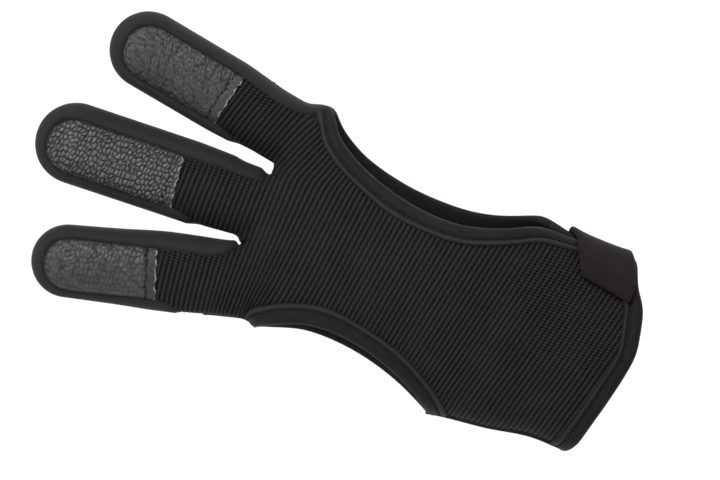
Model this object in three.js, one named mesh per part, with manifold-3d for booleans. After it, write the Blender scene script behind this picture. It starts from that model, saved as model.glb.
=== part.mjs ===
// A three-finger archery glove for the right hand, in the open form that a hand gives it.
// Millimetres. X runs along the hand, with the fingers towards -X and the arm towards +X.
// The palm faces -Y, the back of the hand +Y, and the thumb side is up, +Z.
// The origin is the middle of the wrist opening, where the hand goes in.
//
// Every cloth or leather piece is a layer between two copies of the hand's form, each grown by a
// wall, and is cut to its outline on the palm side and on the back.
import * as THREE from "three";
import { mergeVertices } from "three/addons/utils/BufferGeometryUtils.js";
import Module from "manifold-3d";

const wasm = await Module();
wasm.setup();

// Walls and clearances
const knit_wall = 1.2; // ribbed knit of the palm
const smooth_wall = 2.6; // soft stretch cloth of the back and the finger stalls
const leather_wall = 1.0; // fingertip pads
const binding_wall = 2.8; // folded binding round each opening
const strap_wall = 2.0; // hook and loop strap
const gap = 0.3; // left between two sewn pieces

// The hand that the glove fits, measured on the skin
const palm_length = 124; // wrist opening to the roots of the fingers
const palm_breadth = 79; // across the knuckles
const palm_depth = 28;
const wrist_breadth = 63;
const finger_curl = 7; // how far the middle fingertip bends towards the palm
const finger_length = 67.5; // the middle finger, past palm_length
const finger_breadth = 21;
const finger_depth = 17.6;

// Trim
const binding_width = 6.0;
const hem_width = 5.6;
const hem_reach = 9; // the hem's furthest point past the origin, towards the arm
const pad_length = 43.5; // the middle finger's pad, from its tip to its straight edge
const tip_border = 4.2; // smooth cloth past the middle finger's pad
const tongue_flare = 6; // how far the ribbed cloth spreads below a pad's edge
const tongue_flare_end = 4; // from the finger's root
const strap_width = 20;
const slit_width = 4.5; // under the strap, on the thumb side of the wrist
const slit_centre = -2; // along Y

// Fingers. root is where the axis starts, a share of palm_breadth, and lean is in degrees. length,
// depth, the three breadths, pad and border are shares of the middle finger's. above and below
// are the pad's edges on each side of the axis, shares of the stall's half breadth.
const fingers = [
  {
    name: "index", root: 0.516, lean: 13.9, length: 0.812, depth: 0.966,
    breadth: { root: 0.819, joint: 0.943, tip: 0.948 },
    above: 0.67, below: 0.8, pad: 0.878, border: 1.19,
  },
  {
    name: "middle", root: 0.182, lean: 1.9, length: 1.0, depth: 1.0,
    breadth: { root: 0.914, joint: 1.0, tip: 1.0 },
    above: 0.58, below: 0.8, pad: 1.0, border: 1.0,
  },
  {
    name: "ring", root: -0.147, lean: -10.3, length: 0.873, depth: 0.955,
    breadth: { root: 0.924, joint: 0.981, tip: 0.867 },
    above: 0.59, below: 0.76, pad: 0.834, border: 1.0,
  },
];

// Sections of the palm, from the arm to the webs between the fingers. along is a share of
// palm_length; low and high are the two sides along Z, shares of palm_breadth; palm and back are
// the depths on each side of the middle, shares of palm_depth.
const palm_sections = [
  { along: -0.2, low: -0.4, high: 0.385, palm: 0.63, back: 0.66 },
  { along: 0.0, low: -0.395, high: 0.37, palm: 0.64, back: 0.64 },
  { along: 0.12, low: -0.378, high: 0.383, palm: 0.66, back: 0.61 },
  { along: 0.24, low: -0.395, high: 0.43, palm: 0.67, back: 0.58 },
  { along: 0.35, low: -0.402, high: 0.468, palm: 0.66, back: 0.55 },
  { along: 0.5, low: -0.43, high: 0.513, palm: 0.62, back: 0.52 },
  { along: 0.66, low: -0.443, high: 0.557, palm: 0.55, back: 0.49 },
  { along: 0.79, low: -0.405, high: 0.598, palm: 0.5, back: 0.46 },
  { along: 0.87, low: -0.285, high: 0.61, palm: 0.45, back: 0.41 },
  { along: 0.92, low: -0.244, high: 0.597, palm: 0.36, back: 0.35 },
  { along: 0.937, low: -0.235, high: 0.585, palm: 0.22, back: 0.22 },
  { along: 0.945, low: -0.22, high: 0.57, palm: 0.06, back: 0.06 },
];

// Sections of a finger, from inside the palm to the middle of its rounded tip. along is a share
// of that way; root, joint and tip are the parts that its three breadths play; deep is a share of
// its depth.
const finger_sections = [
  { along: -0.36, root: 1.0, joint: 0.0, tip: 0.0, deep: 0.8 },
  { along: 0.0, root: 1.0, joint: 0.0, tip: 0.0, deep: 0.98 },
  { along: 0.17, root: 0.5, joint: 0.5, tip: 0.0, deep: 1.0 },
  { along: 0.38, root: 0.0, joint: 1.0, tip: 0.0, deep: 1.0 },
  { along: 0.7, root: 0.0, joint: 0.4, tip: 0.6, deep: 0.98 },
  { along: 1.0, root: 0.0, joint: 0.0, tip: 1.0, deep: 0.93 },
];
const tip_angles = [24, 46, 65, 80]; // rings of the rounded fingertip, in degrees

// Edges of the openings for the thumb and the little finger, from the fingers to the wrist, as
// shares of palm_length and palm_breadth. The palm and the back share the first and last points,
// where the edge passes round the side of the hand.
const thumb_edge_start = [{ along: 0.915, across: 0.78 }, { along: 0.878, across: 0.65 }];
const thumb_edge_end = [{ along: 0.215, across: 0.47 }, { along: 0.17, across: 0.58 }];
const thumb_edge = {
  palm: [
    { along: 0.845, across: 0.605 },
    { along: 0.806, across: 0.518 },
    { along: 0.722, across: 0.43 },
    { along: 0.6, across: 0.357 },
    { along: 0.476, across: 0.327 },
    { along: 0.384, across: 0.345 },
    { along: 0.28, across: 0.4 },
  ],
  back: [
    { along: 0.845, across: 0.618 },
    { along: 0.8, across: 0.552 },
    { along: 0.722, across: 0.48 },
    { along: 0.6, across: 0.422 },
    { along: 0.476, across: 0.398 },
    { along: 0.384, across: 0.405 },
    { along: 0.29, across: 0.437 },
  ],
};
const little_edge_start = [{ along: 0.94, across: -0.4 }, { along: 0.9, across: -0.3 }];
const little_edge_end = [{ along: 0.385, across: -0.43 }, { along: 0.33, across: -0.54 }];
const little_edge = {
  palm: [
    { along: 0.84, across: -0.266 },
    { along: 0.77, across: -0.228 },
    { along: 0.69, across: -0.224 },
    { along: 0.6, across: -0.252 },
    { along: 0.51, across: -0.306 },
    { along: 0.43, across: -0.378 },
  ],
  back: [
    { along: 0.84, across: -0.28 },
    { along: 0.77, across: -0.256 },
    { along: 0.69, across: -0.26 },
    { along: 0.6, across: -0.287 },
    { along: 0.51, across: -0.334 },
    { along: 0.43, across: -0.392 },
  ],
};

// Seams at the fingers' roots, as shares of palm_length: where the ribbed cloth ends between two
// fingers, and where the stalls start.
const web_seam = 0.958;
const stall_seam = 1.03;
const tongue_overlap = 0.3; // a tongue runs this share of its finger back into the palm

// The wrist's edge, from the little finger's side to the thumb's: out is a share of hem_reach,
// across a share of wrist_breadth.
const hem_edge = [
  { out: -0.7, across: -1.4 },
  { out: -0.3, across: -0.6 },
  { out: 0.05, across: -0.45 },
  { out: 0.53, across: -0.224 },
  { out: 0.86, across: -0.06 },
  { out: 1.0, across: 0.04 },
  { out: 0.95, across: 0.14 },
  { out: 0.79, across: 0.28 },
  { out: 0.42, across: 0.38 },
  { out: 0.2, across: 0.52 },
  { out: 0.05, across: 0.75 },
  { out: 0.0, across: 1.4 },
];

// The strap's two ends, as shares of strap_width from the origin towards the fingers and of
// wrist_breadth. It runs from the back round the thumb side onto the palm.
const strap_on_palm = [
  { along: 0.1, across: 1.2 },
  { along: 0.03, across: 0.57 },
  { along: -0.01, across: 0.53 },
  { along: -0.07, across: 0.463 },
  { along: -0.17, across: 0.368 },
  { along: -0.17, across: 0.29 },
  { along: -0.13, across: 0.264 },
  { along: 0.38, across: 0.286 },
  { along: 0.7, across: 0.312 },
  { along: 0.85, across: 0.344 },
  { along: 0.93, across: 0.39 },
  { along: 0.95, across: 0.5 },
  { along: 1.05, across: 0.567 },
  { along: 1.12, across: 1.2 },
];
const strap_on_back = [
  { along: 0.1, across: 1.2 },
  { along: 0.03, across: 0.57 },
  { along: 0.03, across: 0.02 },
  { along: 0.1, across: -0.02 },
  { along: 0.93, across: -0.02 },
  { along: 1.0, across: 0.02 },
  { along: 1.05, across: 0.567 },
  { along: 1.12, across: 1.2 },
];

// How square the sections are, as the power of a superellipse: 2 is an ellipse
const palm_squareness = 2.3;
const finger_squareness = 2.15;
const pad_squareness = 2.5;

// Fineness of the lofts
const palm_sides = 32;
const finger_sides = 20;
const outline_steps = 30;
const arc_steps = 14;
const curl_steps = 12;
const beyond = 30; // how far a cutter runs past what it cuts

// Materials
const knit_cloth = new THREE.MeshStandardMaterial({ color: 0x1d1b1d, roughness: 0.85 });
const smooth_cloth = new THREE.MeshStandardMaterial({ color: 0x2c2a2c, roughness: 0.7 });
const leather = new THREE.MeshStandardMaterial({ color: 0x3c3b3c, roughness: 0.45 });
const binding_cloth = new THREE.MeshStandardMaterial({ color: 0x2a282a, roughness: 0.75 });
const strap_cloth = new THREE.MeshStandardMaterial({ color: 0x29252a, roughness: 0.9 });

// Solids from three.js geometry, and back

function solidOf(geometry) {
  const bare = geometry.clone();
  bare.deleteAttribute("normal");
  bare.deleteAttribute("uv");
  const merged = mergeVertices(bare, 1e-4);
  return new wasm.Manifold(
    new wasm.Mesh({
      numProp: 3,
      vertProperties: new Float32Array(merged.attributes.position.array),
      triVerts: new Uint32Array(merged.index.array),
    }),
  );
}

function meshOf(name, solid, material) {
  const { vertProperties, triVerts, numProp } = solid.getMesh();
  const geometry = new THREE.BufferGeometry();
  const positions = new Float32Array((vertProperties.length / numProp) * 3);
  for (let i = 0; i < positions.length / 3; i++) {
    positions.set(vertProperties.subarray(i * numProp, i * numProp + 3), i * 3);
  }
  geometry.setAttribute("position", new THREE.BufferAttribute(positions, 3));
  geometry.setIndex(new THREE.BufferAttribute(triVerts, 1));
  geometry.computeVertexNormals();
  const mesh = new THREE.Mesh(geometry, material);
  mesh.name = name;
  return mesh;
}

function centreOf(ring) {
  const sum = ring.reduce((total, point) => total.add(point), new THREE.Vector3());
  return sum.divideScalar(ring.length);
}

// A closed solid through rings of equal count, with a fan over each end.
function loft(rings, last_centre = centreOf(rings.at(-1))) {
  const count = rings[0].length;
  const points = [...rings.flat(), centreOf(rings[0]), last_centre];
  const first = points.length - 2;
  const last = points.length - 1;
  const end = (rings.length - 1) * count;
  const faces = [];
  for (let i = 0; i < count; i++) {
    const next = (i + 1) % count;
    faces.push(first, i, next, last, end + next, end + i);
    for (let r = 0; r + 1 < rings.length; r++) {
      const a = r * count + i;
      const b = r * count + next;
      faces.push(a, b + count, b, a, a + count, b + count);
    }
  }
  const geometry = new THREE.BufferGeometry().setFromPoints(points);
  geometry.setIndex(faces);
  return solidOf(geometry);
}

// An outline in the XZ plane, pushed through the whole glove along Y.
function prism(outline) {
  const depth = 6 * beyond;
  const geometry = new THREE.ExtrudeGeometry(new THREE.Shape(outline), {
    depth,
    bevelEnabled: false,
  });
  geometry.rotateX(Math.PI / 2);
  geometry.translate(0, depth / 2, 0);
  return solidOf(geometry);
}

function box(low, high) {
  const geometry = new THREE.BoxGeometry(...high.map((value, i) => value - low[i]));
  geometry.translate(...high.map((value, i) => (value + low[i]) / 2));
  return solidOf(geometry);
}

// The hand's form

// Bends a sine or cosine so that a circle becomes a superellipse.
const bent = (value, squareness) => Math.sign(value) * Math.abs(value) ** (2 / squareness);

// Offsets across and deep of a rounded section, for half sizes across, palm and back.
function section(sides, half_across, half_palm, half_back, squareness) {
  return Array.from({ length: sides }, (_, i) => {
    const angle = (-2 * Math.PI * i) / sides;
    const deep = bent(Math.sin(angle), squareness);
    return {
      across: bent(Math.cos(angle), squareness) * half_across,
      deep: deep * (deep < 0 ? half_palm : half_back),
    };
  });
}

function palmForm(grow) {
  const rings = palm_sections.map(({ along, low, high, palm, back }, row) => {
    const last = row === palm_sections.length - 1;
    const x = -along * palm_length - (last ? grow : 0);
    const half = ((high - low) / 2) * palm_breadth + grow;
    const middle = ((high + low) / 2) * palm_breadth;
    const half_palm = palm * palm_depth + grow;
    const half_back = back * palm_depth + grow;
    return section(palm_sides, half, half_palm, half_back, palm_squareness).map(
      ({ across, deep }) => new THREE.Vector3(x, deep, middle + across),
    );
  });
  return loft(rings);
}

// The middle of the glove between palm and back bends towards the palm along the fingers.
const middleAt = (x) => -finger_curl * (Math.max(0, -x - palm_length) / finger_length) ** 2;
const far_x = -palm_length - finger_length - beyond;

// Gives the point at a distance along a finger from its root, and across from its axis.
function axisOf({ root, lean }) {
  const angle = THREE.MathUtils.degToRad(lean);
  const forward = new THREE.Vector3(-Math.cos(angle), 0, Math.sin(angle));
  const side = new THREE.Vector3(Math.sin(angle), 0, Math.cos(angle));
  const start = new THREE.Vector3(-palm_length, 0, root * palm_breadth);
  return (distance, across = 0) => {
    const point = start.clone().addScaledVector(forward, distance);
    point.y = middleAt(point.x);
    return point.addScaledVector(side, across);
  };
}

const lengthOf = (finger) => finger.length * finger_length;

function fingerForm(finger, grow) {
  const at = axisOf(finger);
  const { breadth } = finger;
  const tip_radius = (breadth.tip * finger_breadth) / 2;
  const tip_centre = lengthOf(finger) - tip_radius;
  const stations = finger_sections.map(({ along, root, joint, tip, deep }) => {
    const share = root * breadth.root + joint * breadth.joint + tip * breadth.tip;
    return {
      distance: along * tip_centre,
      half: (share * finger_breadth) / 2 + grow,
      half_depth: (deep * finger.depth * finger_depth) / 2 + grow,
    };
  });
  const last = stations.at(-1);
  for (const degrees of tip_angles) {
    const angle = THREE.MathUtils.degToRad(degrees);
    stations.push({
      distance: tip_centre + Math.sin(angle) * (tip_radius + grow),
      half: Math.cos(angle) * last.half,
      half_depth: Math.cos(angle) * last.half_depth,
    });
  }
  const rings = stations.map(({ distance, half, half_depth }) =>
    section(finger_sides, half, half_depth, half_depth, finger_squareness).map(({ across, deep }) => {
      const point = at(distance, across);
      point.y = at(distance).y + deep;
      return point;
    }),
  );
  return loft(rings, at(lengthOf(finger) + grow));
}

// The whole hand without its thumb and little finger, grown outwards by a wall.
const forms = new Map();
function handForm(grow) {
  if (!forms.has(grow)) {
    forms.set(
      grow,
      fingers.reduce((hand, finger) => hand.add(fingerForm(finger, grow)), palmForm(grow)),
    );
  }
  return forms.get(grow);
}

const layer = (inner, outer) => handForm(outer).subtract(handForm(inner));

// Outlines and cutters

const flat = (point) => new THREE.Vector2(point.x, point.z);
const onPalm = ({ along, across }) =>
  new THREE.Vector2(-along * palm_length, across * palm_breadth);
const smooth = (points) => new THREE.SplineCurve(points).getPoints(outline_steps);

// The same line, moved sideways: a positive distance is to the left of its direction.
function shifted(line, distance) {
  return line.map((point, i) => {
    const before = line[Math.max(0, i - 1)];
    const after = line[Math.min(line.length - 1, i + 1)];
    const run = after.clone().sub(before).normalize();
    return new THREE.Vector2(point.x - run.y * distance, point.y + run.x * distance);
  });
}

// Everything on the palm's side of the middle, up to a clearance past it.
function palmSide(clearance) {
  const line = [new THREE.Vector2(2 * beyond, clearance)];
  for (let i = 0; i <= curl_steps; i++) {
    const x = THREE.MathUtils.lerp(-palm_length, far_x, i / curl_steps);
    line.push(new THREE.Vector2(x, middleAt(x) + clearance));
  }
  line.push(new THREE.Vector2(far_x, -3 * beyond), new THREE.Vector2(2 * beyond, -3 * beyond));
  const depth = 6 * beyond;
  const geometry = new THREE.ExtrudeGeometry(new THREE.Shape(line), {
    depth,
    bevelEnabled: false,
  });
  geometry.translate(0, 0, -depth / 2);
  return solidOf(geometry);
}

const palm_half = palmSide(0);

// The space of an opening, with its edge moved back into the glove by a width. The glove lies to
// the right of a thumb edge, and to the left of a little finger's edge.
function openingSpace(start, edges, end, width) {
  const to_glove = Math.sign(-start[0].across);
  const half = (face) => {
    const edge = smooth([...start, ...edges[face], ...end].map(onPalm));
    const line = shifted(edge, to_glove * width);
    const far = -to_glove * 3 * beyond;
    const close = [line.at(-1), line[0]].map(({ x }) => new THREE.Vector2(x, far));
    return prism([...line, ...close]);
  };
  return half("palm").intersect(palm_half).add(half("back").subtract(palm_half));
}

const thumbSpace = (width) => openingSpace(thumb_edge_start, thumb_edge, thumb_edge_end, width);
const littleSpace = (width) =>
  openingSpace(little_edge_start, little_edge, little_edge_end, width);

// What lies on the hand's side of the wrist's edge, moved back by a width.
function handSideOfHem(width) {
  const line = smooth(
    hem_edge.map(
      ({ out, across }) => new THREE.Vector2(out * hem_reach - width, across * wrist_breadth),
    ),
  );
  const close = [line.at(-1), line[0]].map(({ y }) => new THREE.Vector2(far_x, y));
  return prism([...line, ...close]);
}

const stallHalf = (finger) => (finger.breadth.joint * finger_breadth) / 2 + smooth_wall;
const padTip = (finger) => lengthOf(finger) + smooth_wall - finger.border * tip_border;
const padStart = (finger) => padTip(finger) - finger.pad * pad_length;

// A strip along a finger on the palm side, from a distance to the pad's rounded tip. Past the
// pad's straight edge it spreads by flare, down to the finger's lower side.
function strip(finger, from, flare, clearance) {
  const at = axisOf(finger);
  const half = stallHalf(finger);
  const above = finger.above * half + clearance;
  const below = finger.below * half + clearance;
  const radius = (above + below) / 2;
  const tip = padTip(finger) + clearance - radius;
  const outline = [at(from, above)];
  for (let i = 0; i <= arc_steps; i++) {
    const angle = (Math.PI * (arc_steps - 2 * i)) / (2 * arc_steps);
    const across = (above - below) / 2 + radius * bent(Math.sin(angle), pad_squareness);
    outline.push(at(tip + radius * bent(Math.cos(angle), pad_squareness), across));
  }
  outline.push(at(padStart(finger), -below));
  outline.push(at(Math.max(from, tongue_flare_end), -below - flare), at(from, -below - flare));
  return prism(outline.map(flat)).intersect(palmSide(clearance));
}

// Ribbed cloth on the palm side: the palm and a tongue along each finger.
function ribbedSpace(clearance) {
  const web = web_seam + clearance / palm_length;
  const outline = [
    { along: web, across: 0.59 },
    { along: web, across: -0.9 },
    { along: -0.4, across: -0.9 },
    { along: -0.4, across: 0.9 },
    { along: 0.8, across: 0.9 },
    { along: 0.88, across: 0.6 + clearance / palm_breadth },
  ];
  const palm = prism(outline.map(onPalm)).intersect(palmSide(clearance));
  return fingers.reduce(
    (cloth, finger) =>
      cloth.add(strip(finger, -tongue_overlap * lengthOf(finger), tongue_flare, clearance)),
    palm,
  );
}

// The slit runs from the thumb opening through the wrist's edge.
const slit = box(
  [onPalm(thumb_edge_end[1]).x - 2 * binding_width, slit_centre - slit_width / 2, 0],
  [2 * beyond, slit_centre + slit_width / 2, 2 * wrist_breadth],
);

// Cloth panels

const panel_hem = handSideOfHem(hem_width + gap);
const opening_edges = thumbSpace(binding_width + gap).add(littleSpace(binding_width + gap));
const panel = (cloth) => cloth.intersect(panel_hem).subtract(opening_edges).subtract(slit);

const palm_panel = panel(layer(0, knit_wall).intersect(ribbedSpace(0)));
const smooth_shell = panel(layer(0, smooth_wall).subtract(ribbedSpace(gap)));

// The finger stalls start just past the webs.
const stall_start = -palm_length * stall_seam;
const wide = 3 * beyond;
const back_panel = smooth_shell.intersect(
  box([stall_start, -wide, -wide], [2 * beyond, wide, wide]),
);
const past_seam = smooth_shell.intersect(
  box([far_x, -wide, -wide], [stall_start - gap, wide, wide]),
);
const stalls = fingers.map((finger) =>
  past_seam.intersect(fingerForm(finger, smooth_wall + gap / 2)),
);

// Leather pads lie on the ribbed cloth, inside the smooth border.
const pad_inner = knit_wall + gap;
const pads = fingers.map((finger) =>
  layer(pad_inner, pad_inner + leather_wall).intersect(
    strip(finger, padStart(finger), 0, 0),
  ),
);

// Bindings round the openings and the wrist
const bound = layer(0, binding_wall).subtract(slit);
const thumb_binding = bound
  .intersect(panel_hem)
  .intersect(thumbSpace(binding_width))
  .subtract(thumbSpace(0));
const little_finger_binding = bound
  .intersect(littleSpace(binding_width))
  .subtract(littleSpace(0));
const wrist_binding = bound
  .intersect(handSideOfHem(0))
  .subtract(handSideOfHem(hem_width));

// The strap, over the slit
const strapOutline = (end) =>
  end.map(
    ({ along, across }) => new THREE.Vector2(-along * strap_width, across * wrist_breadth),
  );
const strap_inner = binding_wall + gap;
const wrist_strap = layer(strap_inner, strap_inner + strap_wall).intersect(
  prism(strapOutline(strap_on_palm))
    .intersect(palm_half)
    .add(prism(strapOutline(strap_on_back)).subtract(palm_half)),
);

const glove = new THREE.Group();
glove.add(
  meshOf("palm_panel", palm_panel, knit_cloth),
  meshOf("back_panel", back_panel, smooth_cloth),
  meshOf("thumb_binding", thumb_binding, binding_cloth),
  meshOf("little_finger_binding", little_finger_binding, binding_cloth),
  meshOf("wrist_binding", wrist_binding, binding_cloth),
  meshOf("wrist_strap", wrist_strap, strap_cloth),
);
fingers.forEach(({ name }, i) => {
  glove.add(
    meshOf(name + "_stall", stalls[i], smooth_cloth),
    meshOf(name + "_pad", pads[i], leather),
  );
});

export default glove;
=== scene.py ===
import math

import bpy
import numpy as np
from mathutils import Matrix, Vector


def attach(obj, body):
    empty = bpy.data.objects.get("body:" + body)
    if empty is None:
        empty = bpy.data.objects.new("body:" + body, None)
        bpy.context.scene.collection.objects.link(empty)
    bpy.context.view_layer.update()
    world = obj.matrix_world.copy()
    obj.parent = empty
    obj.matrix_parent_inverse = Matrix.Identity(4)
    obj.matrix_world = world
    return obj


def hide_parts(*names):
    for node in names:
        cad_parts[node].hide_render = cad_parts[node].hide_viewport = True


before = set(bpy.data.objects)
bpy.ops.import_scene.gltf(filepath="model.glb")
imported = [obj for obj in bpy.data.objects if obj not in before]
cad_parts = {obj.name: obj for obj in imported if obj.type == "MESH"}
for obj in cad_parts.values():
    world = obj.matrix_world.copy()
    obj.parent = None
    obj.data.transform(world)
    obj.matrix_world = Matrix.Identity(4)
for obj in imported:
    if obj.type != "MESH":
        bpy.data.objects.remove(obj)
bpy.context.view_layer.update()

MM = 0.001

# The hand's form, as in the part's source
PALM_LENGTH = 124.0
PALM_BREADTH = 79.0
PALM_DEPTH = 28.0
WRIST_BREADTH = 63.0
FINGER_CURL = 7.0
FINGER_LENGTH = 67.5
FINGER_BREADTH = 21.0
FINGER_DEPTH = 17.6
HEM_REACH = 9.0
TIP_BORDER = 4.2
PAD_LENGTH = 43.5
SMOOTH_WALL = 2.6
KNIT_WALL = 1.15
RIM_WALL = 2.3
STALL_SEAM = 1.03

# The ribs, and how square the sections of the forms are
RIB_PITCH = 1.68
RIB_STEPS = 6
RIB_HEIGHT = 0.5
PALM_POWER = 2.3
FINGER_POWER = 2.15
PAD_POWER = 2.5
WEB_BLEND = 4.0
FINGER_BLEND = 1.5

# How the cloth lies on the hand, in millimetres
INNER_GAP = 0.1
EDGE_HEIGHT = 0.6
RIM_TUCK = 0.15
FINGER_ARC = 11.0
# Between these places along X the cloth goes over from the fingers' own flat grid to the palm's
FINGERS_TO = -115.0
PALM_FROM = -105.0
# Rays that look for the form's surface start this far out
HAND_REACH = 26.0
FINGER_REACH = 17.0
PAD_REACH = 15.0
FRONT = np.array([0.0, -1.0, 0.0])

# Sections of the palm: along, low, high, palm depth, back depth
PALM_SECTIONS = np.array([
    (-0.2, -0.4, 0.385, 0.63, 0.66), (0.0, -0.395, 0.37, 0.64, 0.64),
    (0.12, -0.378, 0.383, 0.66, 0.61), (0.24, -0.395, 0.43, 0.67, 0.58),
    (0.35, -0.402, 0.468, 0.66, 0.55), (0.5, -0.43, 0.513, 0.62, 0.52),
    (0.66, -0.443, 0.557, 0.55, 0.49), (0.79, -0.405, 0.598, 0.5, 0.46),
    (0.87, -0.285, 0.61, 0.45, 0.41), (0.92, -0.244, 0.597, 0.45, 0.41),
    (0.95, -0.22, 0.57, 0.45, 0.41),
])
PALM_END = 0.87
PALM_TIP = 0.945
# The web between the middle and ring fingers reaches further out: place across, how far, how wide
LOW_WEB = (1.5, 2.6, 5.0)
# Sections of a finger: along, root, joint, tip, depth
FINGER_SECTIONS = np.array([
    (-0.36, 1.0, 0.0, 0.0, 0.8), (0.0, 1.0, 0.0, 0.0, 0.98), (0.17, 0.5, 0.5, 0.0, 1.0),
    (0.38, 0.0, 1.0, 0.0, 1.0), (0.7, 0.0, 0.4, 0.6, 0.98), (1.0, 0.0, 0.0, 1.0, 0.93),
])
# root: where the finger starts across the palm. lean: degrees from the hand's axis. length, depth, breadth:
# shares of the hand's own sizes. above, below: the window's half widths, as shares of the stall's.
# pad, border: shares of the pad's length and border. back_to: where the stall starts, from the root.
# upper: the ribbed cloth's upper edge, by distance from the root. rim: up to the first distance its lower
# edge is the finger's own side, and at the second the pad's border begins. web_upper, web_lower: how high
# the stall stands near the webs.
FINGERS = {
    "index": dict(
        root=0.516, lean=13.9, length=0.812, depth=0.966, breadth=(0.819, 0.943, 0.948),
        above=0.67, below=0.8, pad=0.878, border=1.19, back_to=-14.0,
        upper=((-15, 12.5), (-11, 9.2), (-5, 6.9), (2, 7.0), (8, 7.7), (14, 8.4)),
        rim=(2, 13.5),
        web_upper=((-6, 3.2), (4, 3.2)),
        web_lower=((-6, 0.3), (-4, 1.2), (-2, 3.2)),
    ),
    "middle": dict(
        root=0.182, lean=1.9, length=1.0, depth=1.0, breadth=(0.914, 1.0, 1.0),
        above=0.58, below=0.8, pad=1.0, border=1.0, back_to=-12.0,
        upper=((-7, 14.5), (-6.2, 12.0), (-5.5, 9.8), (-4.5, 8.4), (0, 7.5), (12, 7.9), (20, 7.6)),
        rim=(10, 21),
        web_upper=((-6, 0.3), (-4, 0.5), (-2.5, 1.3), (-1, 2.0), (4, 2.1), (8, 2.6), (12, 3.2)),
        web_lower=((-6, 0.3), (-4, 1.2), (-2, 3.2)),
    ),
    "ring": dict(
        root=-0.147, lean=-10.3, length=0.873, depth=0.955, breadth=(0.924, 0.981, 0.867),
        above=0.59, below=0.76, pad=0.834, border=1.0, back_to=-12.0,
        upper=((-5.5, 14.5), (-4.5, 12.5), (-3, 10.0), (-1, 8.4), (2, 7.4), (5, 7.1), (15, 7.4),
               (20, 7.6)),
        rim=(9, 19.5),
        web_upper=((-6, 0.3), (-4, 1.0), (-2.5, 2.6), (-1, 3.2)),
        web_lower=((-6, 3.2), (4, 3.2)),
    ),
}
# Edges of the openings, as shares of the palm's length and breadth, from the fingers to the wrist
THUMB_PALM = ((0.915, 0.78), (0.878, 0.65), (0.845, 0.605), (0.806, 0.518), (0.722, 0.43),
              (0.6, 0.357), (0.476, 0.327), (0.384, 0.345), (0.28, 0.4), (0.215, 0.47), (0.17, 0.58))
THUMB_BACK = ((0.915, 0.78), (0.878, 0.65), (0.845, 0.618), (0.8, 0.552), (0.722, 0.48),
              (0.6, 0.422), (0.476, 0.398), (0.384, 0.405), (0.29, 0.437), (0.215, 0.47), (0.17, 0.58))
LITTLE_PALM = ((0.94, -0.4), (0.9, -0.3), (0.84, -0.266), (0.77, -0.228), (0.69, -0.224),
               (0.6, -0.252), (0.51, -0.306), (0.43, -0.378), (0.385, -0.43), (0.33, -0.54))
LITTLE_BACK = ((0.94, -0.4), (0.9, -0.3), (0.84, -0.28), (0.77, -0.256), (0.69, -0.26),
               (0.6, -0.287), (0.51, -0.334), (0.43, -0.392), (0.385, -0.43), (0.33, -0.54))
# The wrist's edge, as shares of the hem's reach and the wrist's breadth
HEM = ((-0.7, -1.4), (-0.3, -0.6), (0.05, -0.45), (0.53, -0.224), (0.86, -0.06), (1.0, 0.04),
       (0.95, 0.14), (0.79, 0.28), (0.42, 0.38), (0.2, 0.52), (0.05, 0.75), (0.0, 1.4))


# Curves and fields

def eased(xs, ys):
    """A smooth curve through the rows of a table, without overshoot."""
    xs, ys = np.asarray(xs, float), np.asarray(ys, float)
    step = np.diff(xs)
    slope = np.diff(ys) / step
    tangent = np.zeros(len(xs))
    tangent[0], tangent[-1] = slope[0], slope[-1]
    same = slope[1:] * slope[:-1] > 0
    mean = 2 * slope[1:] * slope[:-1] / np.where(same, slope[1:] + slope[:-1], 1.0)
    tangent[1:-1] = np.where(same, mean, 0.0)

    def at(x):
        x = np.clip(x, xs[0], xs[-1])
        i = np.clip(np.searchsorted(xs, x, side="right") - 1, 0, len(step) - 1)
        t = (x - xs[i]) / step[i]
        rise = ys[i + 1] - ys[i]
        return (ys[i] + rise * t * t * (3 - 2 * t)
                + step[i] * (tangent[i] * t * (1 - t) ** 2 - tangent[i + 1] * t * t * (1 - t)))

    return at


def smoothstep(low, high, value):
    t = np.clip((value - low) / (high - low), 0.0, 1.0)
    return t * t * (3 - 2 * t)


def turned(low, high, angle):
    """smoothstep between two angles in degrees, of an angle in radians."""
    return smoothstep(math.radians(low), math.radians(high), angle)


def spline(points, steps):
    """A Catmull-Rom line through points, dense enough to measure along."""
    p = np.asarray(points, float)
    p = np.vstack([2 * p[0] - p[1], p, 2 * p[-1] - p[-2]])
    t = np.linspace(0, 1, steps, endpoint=False)[:, None]
    parts = []
    for a, b, c, d in zip(p[:-3], p[1:-2], p[2:-1], p[3:]):
        parts.append(0.5 * (2 * b + (c - a) * t + (2 * a - 5 * b + 4 * c - d) * t**2
                            + (3 * b - a - 3 * c + d) * t**3))
    return np.vstack(parts + [p[-2:-1]])


def shifted(line, distance):
    """The same plan line, moved to the left of its direction."""
    run = np.gradient(line, axis=0)
    run /= np.linalg.norm(run, axis=1, keepdims=True)
    return line + distance * np.stack([-run[:, 1], run[:, 0]], 1)


def unit(v):
    return v / np.maximum(np.linalg.norm(v, axis=-1, keepdims=True), 1e-9)


PALM_TABLE = [eased(PALM_SECTIONS[:, 0], PALM_SECTIONS[:, i]) for i in range(1, 5)]


def palm_shape(x):
    """Middle, half breadth, palm depth and back depth of the bare palm at x."""
    low, high, palm, back = (table(-x / PALM_LENGTH) for table in PALM_TABLE)
    return (
        (high + low) / 2 * PALM_BREADTH, (high - low) / 2 * PALM_BREADTH,
        palm * PALM_DEPTH, back * PALM_DEPTH,
    )


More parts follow.
